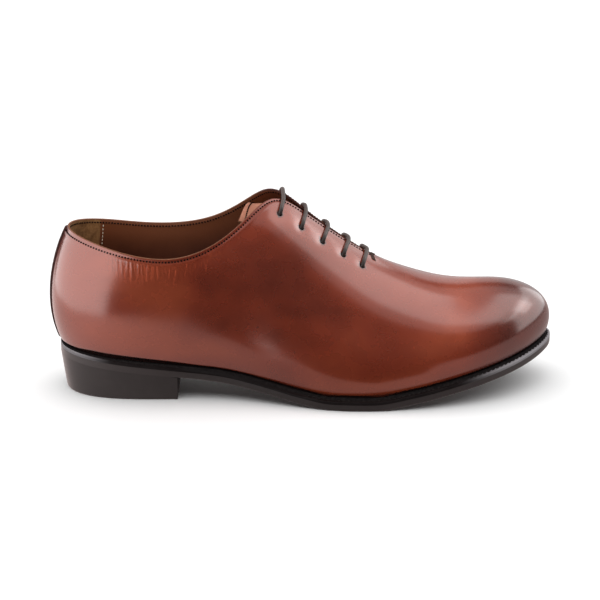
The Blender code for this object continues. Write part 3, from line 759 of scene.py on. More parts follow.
def rung_cap(points, faces, lateral, medial, steps, height, front):
    """Adds the face inside a loop, built of rungs from its lateral to its medial points and then a front."""
    grid = []
    for start, end in zip(lateral, medial):
        rung = [start] * (steps + 1)
        if start != end:
            span = points[end, :2] - points[start, :2]
            plan = points[start, :2] + span * np.arange(1, steps)[:, None] / steps
            rung = [start, *range(len(points), len(points) + steps - 1), end]
            points = np.concatenate((points, np.column_stack((plan, height(plan[:, 0])))))
        grid.append(rung)
    if len(front):
        grid.append(front)
    faces += [list(dict.fromkeys(face)) for face in grid_faces(np.array(grid))]
    return points


def capped_loops(loops, rungs, steps, low_height, high_height, front=np.arange(0)):
    """Solid with loops for its side and rungs for its lower and upper face."""
    count = len(loops[0])
    lateral = np.arange(rungs)
    medial = (count - lateral) % count
    points = np.concatenate(loops)
    faces = loop_faces(len(loops), count)
    for first, height in ((0, low_height), (count * (len(loops) - 1), high_height)):
        points = rung_cap(points, faces, lateral + first, medial + first, steps, height, front + first)
    return points, faces


def sole_solid(loops, low, high):
    """Solid under the whole foot, between two heights over the outsole's underside."""
    return capped_loops(loops, SOLE_COLUMNS // 2 + 1, RUNG_STEPS,
                        lambda x: underside(x) + low, lambda x: underside(x) + high)


def outsole_mesh():
    """Leather outsole that follows the profile from heel seat to toe spring, rounded before the heel."""
    before_heel = smoothstep(HEEL_BREAST - SEAT_FADE, HEEL_BREAST, sole_edge(SOLE_STATIONS)[:, 0])
    loops = [standing_on_sole(sole_edge(SOLE_STATIONS, inset=inset * before_heel), height)
             for inset, height in EDGE_SECTION]
    return sole_solid(loops, 0.0, EDGE_SECTION[-1][1])


def insole_mesh():
    """Footbed inside the welt and the foot of the upper, with a softened edge."""
    loops = []
    for inset, height in INSOLE_SECTION:
        plan = feather_offset(SOLE_STATIONS, np.full(SOLE_COLUMNS, -WALL - SEAT_GAP - inset))
        loops.append(standing_on_sole(plan, BED_HEIGHT + height))
    return sole_solid(loops, BED_HEIGHT, BED_HEIGHT + INSOLE_THICKNESS)


def welt_mesh():
    """Strip between upper and outsole, with an edge flush with the sole, and each face's finish."""
    inner = feather_offset(SOLE_STATIONS, np.full(SOLE_COLUMNS, -WALL))
    reach = closed_spline(WELT_REACH, SOLE_STATIONS)
    waist = between(WAIST_SPAN, sole_edge(SOLE_STATIONS)[:, 0])[:, None]
    loops = [standing_on_sole(inner, BED_HEIGHT)]
    for plain, drawn_in in zip(WELT_SECTION, WAIST_SECTION):
        share, height = (plain + (drawn_in - plain) * waist).T
        loops.append(standing_on_sole(feather_offset(SOLE_STATIONS, share * reach), BED_HEIGHT + height))
    loops.append(standing_on_sole(inner, BED_HEIGHT + WELT_EDGE + WELT_RISE))
    faces = loop_faces(len(loops), SOLE_COLUMNS, closed=True)
    finishes = [WELT_TOP if min(face) >= WELT_TOP_LOOP * SOLE_COLUMNS else WELT_RIM for face in faces]
    return np.concatenate(loops), faces, finishes


def heel_stations(side):
    """Stations from the back of the heel to the breast, on the lateral or the medial side."""
    search = np.linspace(0.0, TOE_ROW / 2, HEEL_SEARCH_STEPS) * side
    breast = np.interp(HEEL_BREAST, sole_edge(search)[:, 0], search)
    return np.linspace(0.0, breast, HEEL_STATIONS + 1)


def heel_taper(stations):
    """How far the heel's foot is drawn in, more at the back than along the sides."""
    outward = unit(sole_edge(stations) - sole_edge(stations, inset=1.0))
    backwards = np.clip(-outward[:, 0], 0.0, 1.0) ** 2
    return HEEL_SIDE_TAPER + (HEEL_REAR_TAPER - HEEL_SIDE_TAPER) * backwards


def heel_loop(share, inset):
    """Outline of the heel at a share of its height, round its back and straight across its breast."""
    sides = []
    for side in (1, -1):
        stations = heel_stations(side)
        plan = sole_edge(stations, inset=heel_taper(stations) * (1 - share) + inset)
        plan[:, 0] = np.minimum(plan[:, 0], HEEL_BREAST - inset)
        plan[-1, 0] = HEEL_BREAST - inset
        sides.append(plan)
    lateral, medial = sides
    cross = np.linspace(0.0, 1.0, HEEL_BREAST_STEPS + 1)[1:-1, None]
    breast = lateral[-1] + (medial[-1] - lateral[-1]) * cross
    plan = np.concatenate((lateral, breast, medial[:0:-1]))
    return np.column_stack((plan, (underside(plan[:, 0]) - HEEL_SEAT_GAP) * share))


def heel_mesh():
    """Heel block with a straight breast, a drawn-in back and a flat foot, and each face's finish."""
    loops = [heel_loop(share, inset) for share, inset in HEEL_SECTION]
    breast = np.arange(HEEL_STATIONS, HEEL_STATIONS + HEEL_BREAST_STEPS + 1)
    points, faces = capped_loops(loops, HEEL_STATIONS, HEEL_BREAST_STEPS, np.zeros_like,
                                 lambda x: underside(x) - HEEL_SEAT_GAP, breast)
    at_breast = points[:, 0] > HEEL_BREAST - HEEL_SECTION[0][1] - BREAST_MARGIN
    finishes = [BREAST_FACE if at_breast[face].all() else HEEL_FACE for face in faces]
    return points, faces, finishes


# Tongue

# Upper face of the tongue: its middle line, half its width, how far its edges drop and how far
# its medial edge lies ahead of the middle
TONGUE = table(
    "x middle_y middle_z half_width edge_drop skew",
    (117.0, 0.0, 111.0, 18.2, 2.6, 2.6),
    (130.0, 0.0, 112.6, 19.0, 9.6, 1.6),
    (144.0, 0.0, 108.4, 18.5, 13.2, 0.0),
    (160.0, 0.0, 98.0, 18.0, 13.2, 0.0),
    (178.0, 0.0, 86.0, 17.0, 10.5, 0.0),
    (194.0, 0.5, 76.4, 15.0, 6.5, 0.0),
    (206.0, 1.4, 70.9, 14.0, 4.5, 0.0),
)
TONGUE_RIM_BULGE = 0.4
TONGUE_STITCH_INSET = 2.6


def tongue_face():
    """Grid of the tongue's upper face and its normals."""
    places = np.linspace(TONGUE["x"][0], TONGUE["x"][-1], TONGUE_LENGTH_STEPS + 1)
    sizes = {name: profile(TONGUE, name, places)[:, None] for name in TONGUE}
    across = np.linspace(-1.0, 1.0, TONGUE_WIDTH_STEPS + 1)[None, :]
    face = np.stack((
        sizes["x"] + sizes["skew"] * across,
        sizes["middle_y"] + sizes["half_width"] * across,
        sizes["middle_z"] - sizes["edge_drop"] * across ** 2,
    ), axis=2)
    along, sideways = np.gradient(face, axis=(0, 1))
    return face, unit(np.cross(along, sideways))


def tongue_mesh():
    """Tongue with a rounded cut edge, and each face's finish."""
    face, normals = tongue_face()
    points, faces = sheet_mesh(face, face - TONGUE_THICKNESS * normals, bulge=TONGUE_RIM_BULGE)
    side = TONGUE_LENGTH_STEPS * TONGUE_WIDTH_STEPS
    finishes = np.full(len(faces), EDGE_FACE)
    finishes[:side] = LEATHER_FACE
    finishes[side:2 * side] = LINING_FACE
    return points, faces, finishes


# Stitches and laces

# Rows of stitches: from one stitch to the next, length, width, slant and lift off the leather
TOPLINE_STITCH = {"pitch": 1.85, "length": 1.15, "width": 1.05, "lift": 0.05}
TONGUE_STITCH = {**TOPLINE_STITCH, "lift": 0.1}
GRIP_STITCH = {"pitch": 2.4, "length": 1.6, "width": 0.7, "lift": 0.05}
WELT_STITCH = {"pitch": 3.0, "length": 2.3, "width": 0.9, "slant_deg": 8.0}
LINING_STITCH_DISTANCE = 1.7

# Row on the welt: share of the way out, height, lean of the stitches and where it starts and ends
WELT_STITCH_SHARE = 0.5
WELT_STITCH_HEIGHT = 1.98
WELT_STITCH_LEAN = 0.4
WELT_STITCH_STATIONS = (8.0, 26.0)

# One stitch: place along its half length and share of its width
STITCH_SECTION = ((-1.0, 0.15), (-0.8, 0.7), (-0.35, 1.0), (0.35, 1.0), (0.8, 0.7), (1.0, 0.15))
STITCH_SIDES = 6

# Route of a lace bar over a facing: share of the way from the eyelet to the slit, how far it stands
# off the leather, and how far forwards it lies on the lateral and on the medial facing, in ribs
LACE_ROUTE = (
    (0.2, 1.10, 0.06, 0.02),
    (0.45, 1.15, 0.15, 0.06),
    (0.7, 1.20, 0.24, 0.14),
    (1.0, 1.50, 0.32, 0.28),
)

# Lace: its radius, the tail inside the shoe, how deep it lies in the eyelet's mouth, its plait, and how far
# from the eyelets it gets painted shade
LACE_RADIUS = 1.25
LACE_TAIL = 1.6
LACE_DIP = 0.3
LACE_PLAIT = {"strands": 4, "strand_pitch": 2.6, "strand_depth": 0.035}
LACE_SHADE = (6.0, 1.6)

# Threads across the end of the throat
BAR_TACK_STATIONS = (10.88, 10.92, 10.96)
BAR_TACK_LEVELS = np.linspace(0.925, 1.0, 6)
BAR_TACK_LIFT = 0.15
BAR_TACK_STEP = 0.6
BAR_TACK_RADIUS = 0.38
BAR_TACK_SIDES = 8

# Direction that the first ring of a tube is turned by
TUBE_UP = (0.3, 0.2, 0.93)


def along_path(path, pitch, offset=0.0):
    """Places every pitch along a path, as a row number with its fraction."""
    steps = np.linalg.norm(np.diff(path, axis=0), axis=1)
    reach = np.concatenate(([0.0], np.cumsum(steps)))
    places = np.arange(offset, reach[-1], pitch)
    return np.interp(places, reach, np.arange(len(path)))


def read_path(rows, places):
    """Rows of a path at fractional row numbers."""
    numbers = np.arange(len(rows))
    return np.column_stack([np.interp(places, numbers, rows[:, axis]) for axis in range(rows.shape[1])])


def stitch_row(path, normals, pitch, length, width, slant_deg=0.0, lift=0.0):
    """Plump stitches every pitch along a path, each pressed half into the leather."""
    places = along_path(path, pitch, offset=pitch / 2)
    up = unit(read_path(normals, places))
    centres = read_path(path, places) + lift * up
    alongs = unit(read_path(np.gradient(path, axis=0), places))
    turn = math.radians(slant_deg)
    lean = alongs * math.cos(turn) + unit(np.cross(up, alongs)) * math.sin(turn)
    across = unit(np.cross(up, lean))
    upwards = np.cross(lean, across)
    angles = np.linspace(0.0, 2 * math.pi, STITCH_SIDES, endpoint=False)
    ring = np.column_stack((np.cos(angles), np.sin(angles))) * width / 2
    template = np.array([(reach * length / 2, *(size * ring_point))
                         for reach, size in STITCH_SECTION for ring_point in ring])
    axes = np.stack((lean, across, upwards), axis=1)
    points = centres[:, None, :] + np.einsum("ta,sax->stx", template, axes)
    faces = capped_faces(len(STITCH_SECTION), STITCH_SIDES)
    return join_meshes((stitch, faces) for stitch in points)


def row_at_distance(grid, normals, from_edge, distances):
    """Points and normals of the open columns where a grid is at its distance below the cut edge."""
    path = []
    up = []
    for place, distance in zip(OPEN_COLUMNS, distances):
        gaps = from_edge[place][::-1]
        share = np.interp(distance, gaps, np.arange(len(gaps))[::-1])
        low = min(int(share), len(gaps) - 2)
        part = share - low
        path.append(grid[place, low] * (1 - part) + grid[place, low + 1] * part)
        up.append(normals[place, low] * (1 - part) + normals[place, low + 1] * part)
    return np.array(path), unit(np.array(up))


def topline_stitches(walls):
    """Stitches along the collar and the facings, on the outside and on the lining."""
    distances = profile(SEAM, "distance", walls["outer"][OPEN_COLUMNS, -1, 0])
    outside = row_at_distance(walls["outer"], walls["outer_normals"], walls["from_edge"], distances)
    inside_gaps = edge_distances(walls["inner"], walls["inner"][OPEN_COLUMNS, -1])
    inside = row_at_distance(walls["inner"], -walls["inner_normals"], inside_gaps,
                             np.full(len(OPEN_COLUMNS), LINING_STITCH_DISTANCE))
    return join_meshes(stitch_row(*row, **TOPLINE_STITCH) for row in (outside, inside))


def grip_stitches(walls):
    """Pale stitches down the front edges of the heel grip."""
    rows = []
    for station in (GRIP_STITCH_STATION, RIB_COUNT - GRIP_STITCH_STATION):
        place = int(np.argmin(np.abs(STATIONS - station)))
        path = walls["inner"][place, GRIP_STITCH_ROWS]
        rows.append(stitch_row(path, -walls["inner_normals"][place, GRIP_STITCH_ROWS], **GRIP_STITCH))
    return join_meshes(rows)


def tongue_stitches():
    """Stitches along the end and the sides of the tongue."""
    face, normals = tongue_face()
    middle = face.shape[1] // 2
    half = face.shape[0] // 2
    a = max(1, round(TONGUE_STITCH_INSET / np.linalg.norm(face[1, middle] - face[0, middle])))
    b = max(1, round(TONGUE_STITCH_INSET / np.linalg.norm(face[0, 1] - face[0, 0])))
    path, up = (np.concatenate((grid[half:a:-1, b], grid[a, b:-b], grid[a + 1:half, -b - 1]))
                for grid in (face, normals))
    return stitch_row(path, up, **TONGUE_STITCH)


def welt_stitches():
    """Stitches on the welt's upper face, round the forefoot."""
    stations = np.arange(*WELT_STITCH_STATIONS, 1 / SOLE_PER_RIB)
    reach = closed_spline(WELT_REACH, stations)
    plan = feather_offset(stations, WELT_STITCH_SHARE * reach)
    outward = feather_offset(stations, reach + 1.0) - feather_offset(stations, reach)
    up = unit(np.column_stack((WELT_STITCH_LEAN * outward, np.ones(len(stations)))))
    return stitch_row(standing_on_sole(plan, BED_HEIGHT + WELT_STITCH_HEIGHT), up, **WELT_STITCH)


def smooth_route(points, step):
    """Even points along a smooth curve through a few route points."""
    points = np.asarray(points, dtype=float)
    padded = np.concatenate((2 * points[:1] - points[1:2], points, 2 * points[-1:] - points[-2:-1]))
    t = np.linspace(0.0, 1.0, ROUTE_STEPS, endpoint=False)[:, None]
    curve = []
    for first in range(len(points) - 1):
        a, b, c, d = padded[first:first + 4]
        curve.append(0.5 * (2 * b + (c - a) * t + (2 * a - 5 * b + 4 * c - d) * t ** 2
                            + (3 * b - a - 3 * c + d) * t ** 3))
    curve = np.concatenate(curve + [points[-1:]])
    return read_path(curve, along_path(curve, step))


def tube_mesh(path, radius, sides, strands=0, strand_pitch=1.0, strand_depth=0.0):
    """Closed tube along a path, plaited if it has strands."""
    alongs = unit(np.gradient(path, axis=0))
    side = unit(np.cross(alongs[0], TUBE_UP))
    angles = np.linspace(0.0, 2 * math.pi, sides, endpoint=False)
    points = []
    step = np.linalg.norm(path[1] - path[0])
    for number, (centre, along) in enumerate(zip(path, alongs)):
        side = unit(side - along * side.dot(along))
        up = np.cross(along, side)
        twist = 2 * math.pi * number * step / strand_pitch
        weave = np.maximum(np.cos(strands * angles + twist), np.cos(strands * angles - twist))
        size = radius * (1 + strand_depth * (weave - 1))
        ring = np.cos(angles)[:, None] * side + np.sin(angles)[:, None] * up
        points.append(centre + size[:, None] * ring)
    return np.concatenate(points), capped_faces(len(path), sides)


def lace_half(station, height, side):
    """Route of half a lace bar, up through its eyelet and over the facing to the slit."""
    route = [lifted_point(side * station, height, lift) for lift in (-WALL - LACE_TAIL, -WALL, -LACE_DIP)]
    for share, lift, lateral_lean, medial_lean in LACE_ROUTE:
        place = station + (lateral_lean if side > 0 else medial_lean)
        level = height + (1.0 - height) * share
        route.append(lifted_point(side * place, level, lift))
    return route


def lace_mesh(station, height):
    """Lace bar from one eyelet across to the other."""
    route = lace_half(station, height, 1) + lace_half(station, height, -1)[::-1]
    return tube_mesh(smooth_route(route, LACE_STEP), LACE_RADIUS, LACE_SIDES, **LACE_PLAIT)


def lace_shade(points, station, height):
    """How much painted shade darkens a lace bar where it comes out of its eyelets."""
    ends = np.array([lifted_point(side * station, height, 0.0) for side in (1, -1)])
    away = np.linalg.norm(points[:, None, :] - ends[None, :, :], axis=2).min(axis=1)
    return smoothstep(*LACE_SHADE, away)


def bar_tack_mesh():
    """Threads across the end of the throat."""
    bars = []
    for station in BAR_TACK_STATIONS:
        route = [lifted_point(station, level, BAR_TACK_LIFT) for level in BAR_TACK_LEVELS]
        route += [lifted_point(-station, level, BAR_TACK_LIFT) for level in BAR_TACK_LEVELS[::-1]]
        bars.append(tube_mesh(smooth_route(route, BAR_TACK_STEP), BAR_TACK_RADIUS, BAR_TACK_SIDES))
    return join_meshes(bars)


# Materials

CELL_SMOOTHNESS = 0.6


class Nodes:
    """A new material, with short calls that add nodes to its tree and link them. Sockets are given by
    name, with underscores for spaces."""

    def __init__(self, name):
        self.material = bpy.data.materials.new(name)
        self.material.use_nodes = True
        self.tree = self.material.node_tree
        place = self.add("TexCoord").outputs["Object"]
        self.place = self.add("Mapping", Vector=place, Scale=(1 / MM, 1 / MM, 1 / MM)).outputs["Vector"]

    def put(self, socket, value):
        """Sets a socket to a plain value, or links it to another node's output."""
        if isinstance(value, bpy.types.NodeSocket):
            self.tree.links.new(value, socket)
        elif socket.type == "RGBA":
            socket.default_value = (*value, 1.0)
        else:
            socket.default_value = value

    def fill(self, node, sockets):
        """Sets or links a node's sockets."""
        for name, value in sockets.items():
            self.put(node.inputs[name.replace("_", " ")], value)

    def add(self, kind, settings=(), **sockets):
        """New node with its settings and sockets."""
        node = self.tree.nodes.new("ShaderNode" + kind)
        for name, value in settings:
            setattr(node, name, value)
        self.fill(node, sockets)
        return node

    def noise(self, size, detail=4.0, roughness=0.55, stretch=(1.0, 1.0, 1.0), distortion=0.0):
        """Noise with features of a size in millimetres."""
        place = self.add("Mapping", Vector=self.place, Scale=stretch).outputs["Vector"]
        return self.add("TexNoise", Vector=place, Scale=1 / size, Detail=detail, Roughness=roughness,
                        Distortion=distortion).outputs["Fac"]

    def cells(self, size):
        """Soft pattern of cells of a size in millimetres."""
        return self.add("TexVoronoi", [("feature", "SMOOTH_F1")], Vector=self.place, Scale=1 / size,
                        Smoothness=CELL_SMOOTHNESS).outputs["Distance"]

    def ramp(self, factor, low, high, start=0.0, end=1.0):
        """Soft step of a factor between two limits, to values from start to end."""
        return self.add("MapRange", [("interpolation_type", "SMOOTHSTEP")], Value=factor, From_Min=low,
                        From_Max=high, To_Min=start, To_Max=end).outputs["Result"]

    def mix(self, factor, a, b):
        """Blend of two colours."""
        return self.add("Mix", [("data_type", "RGBA")], Factor=factor, A=a, B=b).outputs["Result"]

    def blend(self, pattern, tones, low=0.3, high=0.7):
        """Two tones that a pattern blends."""
        return self.mix(self.ramp(pattern, low, high), *tones)

    def math(self, operation, *values):
        """Arithmetic on two or three numbers."""
        node = self.add("Math", [("operation", operation)])
        for socket, value in zip(node.inputs, values):
            self.put(socket, value)
        return node.outputs["Value"]

    def paint(self, name, output):
        """What is painted on a mesh's points under a name."""
        return self.add("Attribute", [("attribute_name", name)]).outputs[output]

    def finish(self, channel):
        """One channel of the finish painted on a mesh's points."""
        return self.add("SeparateColor", Color=self.paint("finish", "Color")).outputs[channel]

    def along_shoe(self):
        """Place along the shoe in millimetres."""
        return self.add("SeparateXYZ", Vector=self.place).outputs["X"]

    def bump(self, height, depth, strength, **below):
        """Bump of a depth in millimetres, over another bump if it is given as Normal."""
        bump = self.add("Bump", Strength=strength, Distance=depth * MM, Height=height, **below)
        return bump.outputs["Normal"]

    def shade(self, **sockets):
        """Sets the shader's sockets and hands over the material."""
        self.fill(self.tree.nodes["Principled BSDF"], sockets)
        return self.material


# Colours of the polished calf, and how much its patina, which also carries painted light and shade, and its
# patches shift the dye
COGNAC_DEEP = (0.086, 0.0112, 0.0046)
COGNAC_MIDDLE = (0.163, 0.0212, 0.0071)
COGNAC_LIGHT = (0.254, 0.0425, 0.0142)
COGNAC_BURNISHED = (0.031, 0.0083, 0.0073)
COGNAC_GLOSS = (1.0, 0.17, 0.07)
# Black painted in the crease over the welt, as edge dye and painted shade, and in the dark rings round the
# eyelets
CREASE_DYE_AND_SHADE_BLACK = (0.006, 0.004, 0.004)
PATINA_DYE = 0.22
PATCH_DYE = 0.10

# Dark and light tone of the other finishes, and of some a third one where it is painted on, which is painted
# light on the lining and painted shade on the lace
TONGUE_TONES = ((0.230, 0.080, 0.045), (0.340, 0.135, 0.082))
STRIP_TONES = ((0.024, 0.008, 0.007), (0.050, 0.015, 0.012))
EDGE_TONES = ((0.120, 0.042, 0.021), (0.220, 0.092, 0.048))
EDGE_STAIN = (0.055, 0.018, 0.014)
# Near-black of the eyelets' walls, painted for the shade in the holes
EYELET_SHADE_TONES = ((0.010, 0.005, 0.004), (0.026, 0.012, 0.010))
LINING_TONES = ((0.048, 0.011, 0.005), (0.075, 0.019, 0.008))
LINING_PAINTED_LIGHT = (0.145, 0.041, 0.014)
SUEDE_TONES = ((0.10, 0.040, 0.014), (0.25, 0.120, 0.046))
SUEDE_SHEEN = (0.6, 0.42, 0.25)
INSOLE_TONES = ((0.16, 0.075, 0.034), (0.25, 0.125, 0.060))
# Black of the welt's top, as dye and painted shade, and of the heel's breast, as painted shade
BLACK_DYE_AND_SHADE_TONES = ((0.006, 0.005, 0.005), (0.014, 0.011, 0.011))
LACE_TONES = ((0.040, 0.025, 0.021), (0.100, 0.070, 0.062))
LACE_PAINTED_SHADE = (0.014, 0.007, 0.005)
TOPLINE_THREAD = ((0.006, 0.003, 0.003), (0.014, 0.007, 0.006))
GRIP_THREAD = ((0.42, 0.34, 0.25), (0.62, 0.54, 0.44))
WELT_THREAD = ((0.008, 0.006, 0.006), (0.024, 0.020, 0.019))
TACK_THREAD = ((0.040, 0.024, 0.020), (0.090, 0.060, 0.052))

# Waxed edges: dark and light tone, the paler tone at heel and toe that stands for painted highlight (on the
# welt's toe also dust), roughness and gloss. Then how much rougher scratches are, the specular level for each
# gloss, and where the ends' tone comes in, in the imported frame
SOLE_EDGE = ((0.008, 0.005, 0.005), (0.014, 0.010, 0.010), (0.026, 0.021, 0.021), 0.30, 0.72)
HEEL_EDGE = ((0.007, 0.005, 0.005), (0.013, 0.010, 0.010), (0.013, 0.010, 0.010), 0.28, 0.60)
WELT_FACE = ((0.006, 0.004, 0.004), (0.011, 0.008, 0.008), (0.250, 0.232, 0.243), 0.34, 0.12)
SCRATCH_ROUGHNESS = 0.12
SPECULAR_SHARE = 0.6
TOE_DUST_AND_HIGHLIGHT = (92.0, 132.0)
HEEL_PAINTED_HIGHLIGHT = (-112.0, -138.0)


def cognac_dye(nodes, patches):
    """Colour of the polished calf: soft patina with painted light and shade, strokes, specks, a burnished toe
    and the crease's black of edge dye and painted shade.
    """
    clouds = nodes.noise(size=40.0, detail=2.0, stretch=(0.8, 1.0, 1.2), distortion=0.3)
    strokes = nodes.noise(size=2.6, detail=3.0, stretch=(0.3, 1.0, 1.0))
    specks = nodes.noise(size=2.2, detail=1.0)
    dye = nodes.math("MULTIPLY_ADD", nodes.paint("tone", "Fac"), PATINA_DYE, clouds)
    dye = nodes.math("MULTIPLY_ADD", patches, PATCH_DYE, dye)
    uneven = nodes.ramp(patches, low=0.25, high=0.75, start=0.85, end=1.1)
    burnish = nodes.math("MULTIPLY", nodes.finish("Red"), uneven)
    colour = nodes.mix(nodes.ramp(dye, low=0.22, high=0.62), COGNAC_DEEP, COGNAC_MIDDLE)
    for factor, tone in (
        (nodes.ramp(dye, low=0.55, high=0.95), COGNAC_LIGHT),
        (nodes.ramp(strokes, low=0.58, high=0.8, end=0.22), COGNAC_DEEP),
        (nodes.ramp(nodes.finish("Blue"), low=0.05, high=0.8, end=0.7), COGNAC_LIGHT),
        (nodes.ramp(specks, low=0.79, high=0.84, end=0.45), COGNAC_BURNISHED),
        (burnish, COGNAC_BURNISHED),
        (nodes.finish("Green"), CREASE_DYE_AND_SHADE_BLACK),
    ):
        colour = nodes.mix(factor, colour, tone)
    return colour


def cognac_relief(nodes):
    """Relief of the polished calf: low waves, wrinkles where they are painted, pores and grain."""
    folds = nodes.noise(size=1.7, detail=2.0, stretch=(1.0, 1.0, 0.16), distortion=0.4)
    wrinkles = nodes.math("MULTIPLY", folds, nodes.paint("finish", "Alpha"))
    normal = nodes.bump(nodes.noise(size=16.0, detail=2.0), depth=0.5, strength=0.25)
    normal = nodes.bump(wrinkles, depth=0.6, strength=0.9, Normal=normal)
    normal = nodes.bump(nodes.cells(size=0.55), depth=0.012, strength=0.3, Normal=normal)
    return nodes.bump(nodes.noise(size=1.6), depth=0.03, strength=0.3, Normal=normal)


def cognac_leather():
    """Polished calf with soft patina and painted light and shade, a burnished toe, fine grain and a waxed
    gloss.
    """
    nodes = Nodes("cognac_leather")
    patches = nodes.noise(size=11.0, roughness=0.5)
    roughness = nodes.ramp(patches, low=0.3, high=0.7, start=0.24, end=0.30)
    return nodes.shade(Base_Color=cognac_dye(nodes, patches), Normal=cognac_relief(nodes),
                       Roughness=roughness, IOR=2.1, Specular_Tint=COGNAC_GLOSS,
                       Coat_Weight=1.0, Coat_Roughness=0.18, Coat_IOR=1.9)


def tongue_leather():
    """Tan leather of the tongue, with a dry face."""
    nodes = Nodes("tongue_leather")
    colour = nodes.blend(nodes.noise(size=6.0), TONGUE_TONES)
    normal = nodes.bump(nodes.noise(size=0.8), depth=0.05, strength=0.4)
    return nodes.shade(Base_Color=colour, Normal=normal, Roughness=0.6, Specular_IOR_Level=0.2)


def strip_leather():
    """Dark calf of the strip over the back seam."""
    nodes = Nodes("strip_leather")
    colour = nodes.blend(nodes.noise(size=8.0), STRIP_TONES)
    normal = nodes.bump(nodes.noise(size=1.2), depth=0.05, strength=0.4)
    return nodes.shade(Base_Color=colour, Normal=normal, Roughness=0.6, Specular_IOR_Level=0.1)


def cut_edge_leather():
    """Raw edge of the leather, tan round the collar and stained dark along the facings."""
    nodes = Nodes("cut_edge_leather")
    fibres = nodes.noise(size=0.7, detail=5.0, roughness=0.7)
    colour = nodes.mix(nodes.finish("Red"), nodes.blend(fibres, EDGE_TONES), EDGE_STAIN)
    normal = nodes.bump(fibres, depth=0.08, strength=0.6)
    return nodes.shade(Base_Color=colour, Normal=normal, Roughness=0.7, Specular_IOR_Level=0.1)


def eyelet_wall_leather():
    """Near-black wall of a punched eyelet, painted dark for the shade inside the hole."""
    nodes = Nodes("eyelet_wall_painted_shade")
    fibres = nodes.noise(size=0.5, roughness=0.7)
    normal = nodes.bump(fibres, depth=0.06, strength=0.5)
    return nodes.shade(Base_Color=nodes.blend(fibres, EYELET_SHADE_TONES), Normal=normal, Roughness=0.75,
                       Specular_IOR_Level=0.15)


def lining_leather():
    """Smooth brown lining leather, with painted light towards the collar."""
    nodes = Nodes("lining_leather")
    colour = nodes.blend(nodes.noise(size=18.0), LINING_TONES)
    colour = nodes.mix(nodes.finish("Red"), colour, LINING_PAINTED_LIGHT)
    normal = nodes.bump(nodes.cells(size=0.8), depth=0.03, strength=0.5)
    return nodes.shade(Base_Color=colour, Normal=normal, Roughness=0.5, Specular_IOR_Level=0.35)


def grip_suede():
    """Napped suede of the heel grip."""
    nodes = Nodes("grip_suede")
    nap = nodes.noise(size=5.0, detail=6.0, roughness=0.75, distortion=0.8)
    normal = nodes.bump(nodes.noise(size=0.5, roughness=0.8), depth=0.12, strength=0.7)
    return nodes.shade(Base_Color=nodes.blend(nap, SUEDE_TONES), Normal=normal, Roughness=0.95,
                       Sheen_Weight=0.35, Sheen_Roughness=0.5, Sheen_Tint=SUEDE_SHEEN, Specular_IOR_Level=0.1)


def insole_leather():
    """Vegetable-tanned insole leather."""
    nodes = Nodes("insole_leather")
    colour = nodes.blend(nodes.noise(size=22.0, detail=5.0), INSOLE_TONES)
    normal = nodes.bump(nodes.cells(size=0.9), depth=0.04, strength=0.5)
    return nodes.shade(Base_Color=colour, Normal=normal, Roughness=0.55)


def sole_edge_finish(name, dark, light, ends, roughness, gloss):
    """Dyed and ironed leather edge with faint scratches, a waxed surface and ends painted paler as painted
    highlight, with dust at the toe.
    """
    nodes = Nodes(name)
    clouds = nodes.noise(size=14.0, detail=5.0, roughness=0.6)
    scratches = nodes.noise(size=2.0, detail=5.0, roughness=0.7, stretch=(0.25, 0.25, 1.6))
    colour = nodes.blend(clouds, (dark, light), high=0.75)
    # Paler ends: painted highlight at the heel, painted highlight and dust at the toe
    for reach in (TOE_DUST_AND_HIGHLIGHT, HEEL_PAINTED_HIGHLIGHT):
        colour = nodes.mix(nodes.ramp(nodes.along_shoe(), *reach), colour, ends)
    normal = nodes.bump(clouds, depth=0.25, strength=0.25)
    normal = nodes.bump(scratches, depth=0.03, strength=0.3, Normal=normal)
    rough = nodes.ramp(scratches, low=0.3, high=0.75, start=roughness, end=roughness + SCRATCH_ROUGHNESS)
    return nodes.shade(Base_Color=colour, Normal=normal, Roughness=rough, Coat_Weight=gloss,
                       Coat_Roughness=0.22, Specular_IOR_Level=SPECULAR_SHARE * gloss)


def matt_black_dye_and_shade(name):
    """Matt black of the welt's top, as black dye and painted shade, and of the heel's breast, as painted
    shade.
    """
    nodes = Nodes(name)
    fibres = nodes.noise(size=1.5)
    normal = nodes.bump(fibres, depth=0.06, strength=0.4)
    return nodes.shade(Base_Color=nodes.blend(fibres, BLACK_DYE_AND_SHADE_TONES), Normal=normal, Roughness=0.85,
                       Specular_IOR_Level=0.05)


def thread_finish(name, tones):
    """Waxed sewing thread."""
    nodes = Nodes(name)
    twist = nodes.noise(size=0.35, detail=2.0)
    normal = nodes.bump(twist, depth=0.05, strength=0.6)
    return nodes.shade(Base_Color=nodes.blend(twist, tones, low=0.35, high=0.65), Normal=normal,
                       Roughness=0.9, Specular_IOR_Level=0.02)


def lace_finish():
    """Waxed round lace, greyish brown, with painted shade where it goes into the eyelets."""
    nodes = Nodes("waxed_lace")
    fibres = nodes.noise(size=0.45, roughness=0.7)
    colour = nodes.mix(nodes.finish("Red"), nodes.blend(fibres, LACE_TONES), LACE_PAINTED_SHADE)
    normal = nodes.bump(fibres, depth=0.05, strength=0.5)
    return nodes.shade(Base_Color=colour, Normal=normal, Roughness=0.5, Specular_IOR_Level=0.6)


# Pieces

SMOOTH_DEG = 40.0
ROUND_SMOOTH_DEG = 80.0
PUNCHED_SMOOTH_DEG = 50.0


def add_object(name, data):
    """Object that stands in the scene."""
    thing = bpy.data.objects.new(name, data)
    bpy.context.scene.collection.objects.link(thing)
    return thing


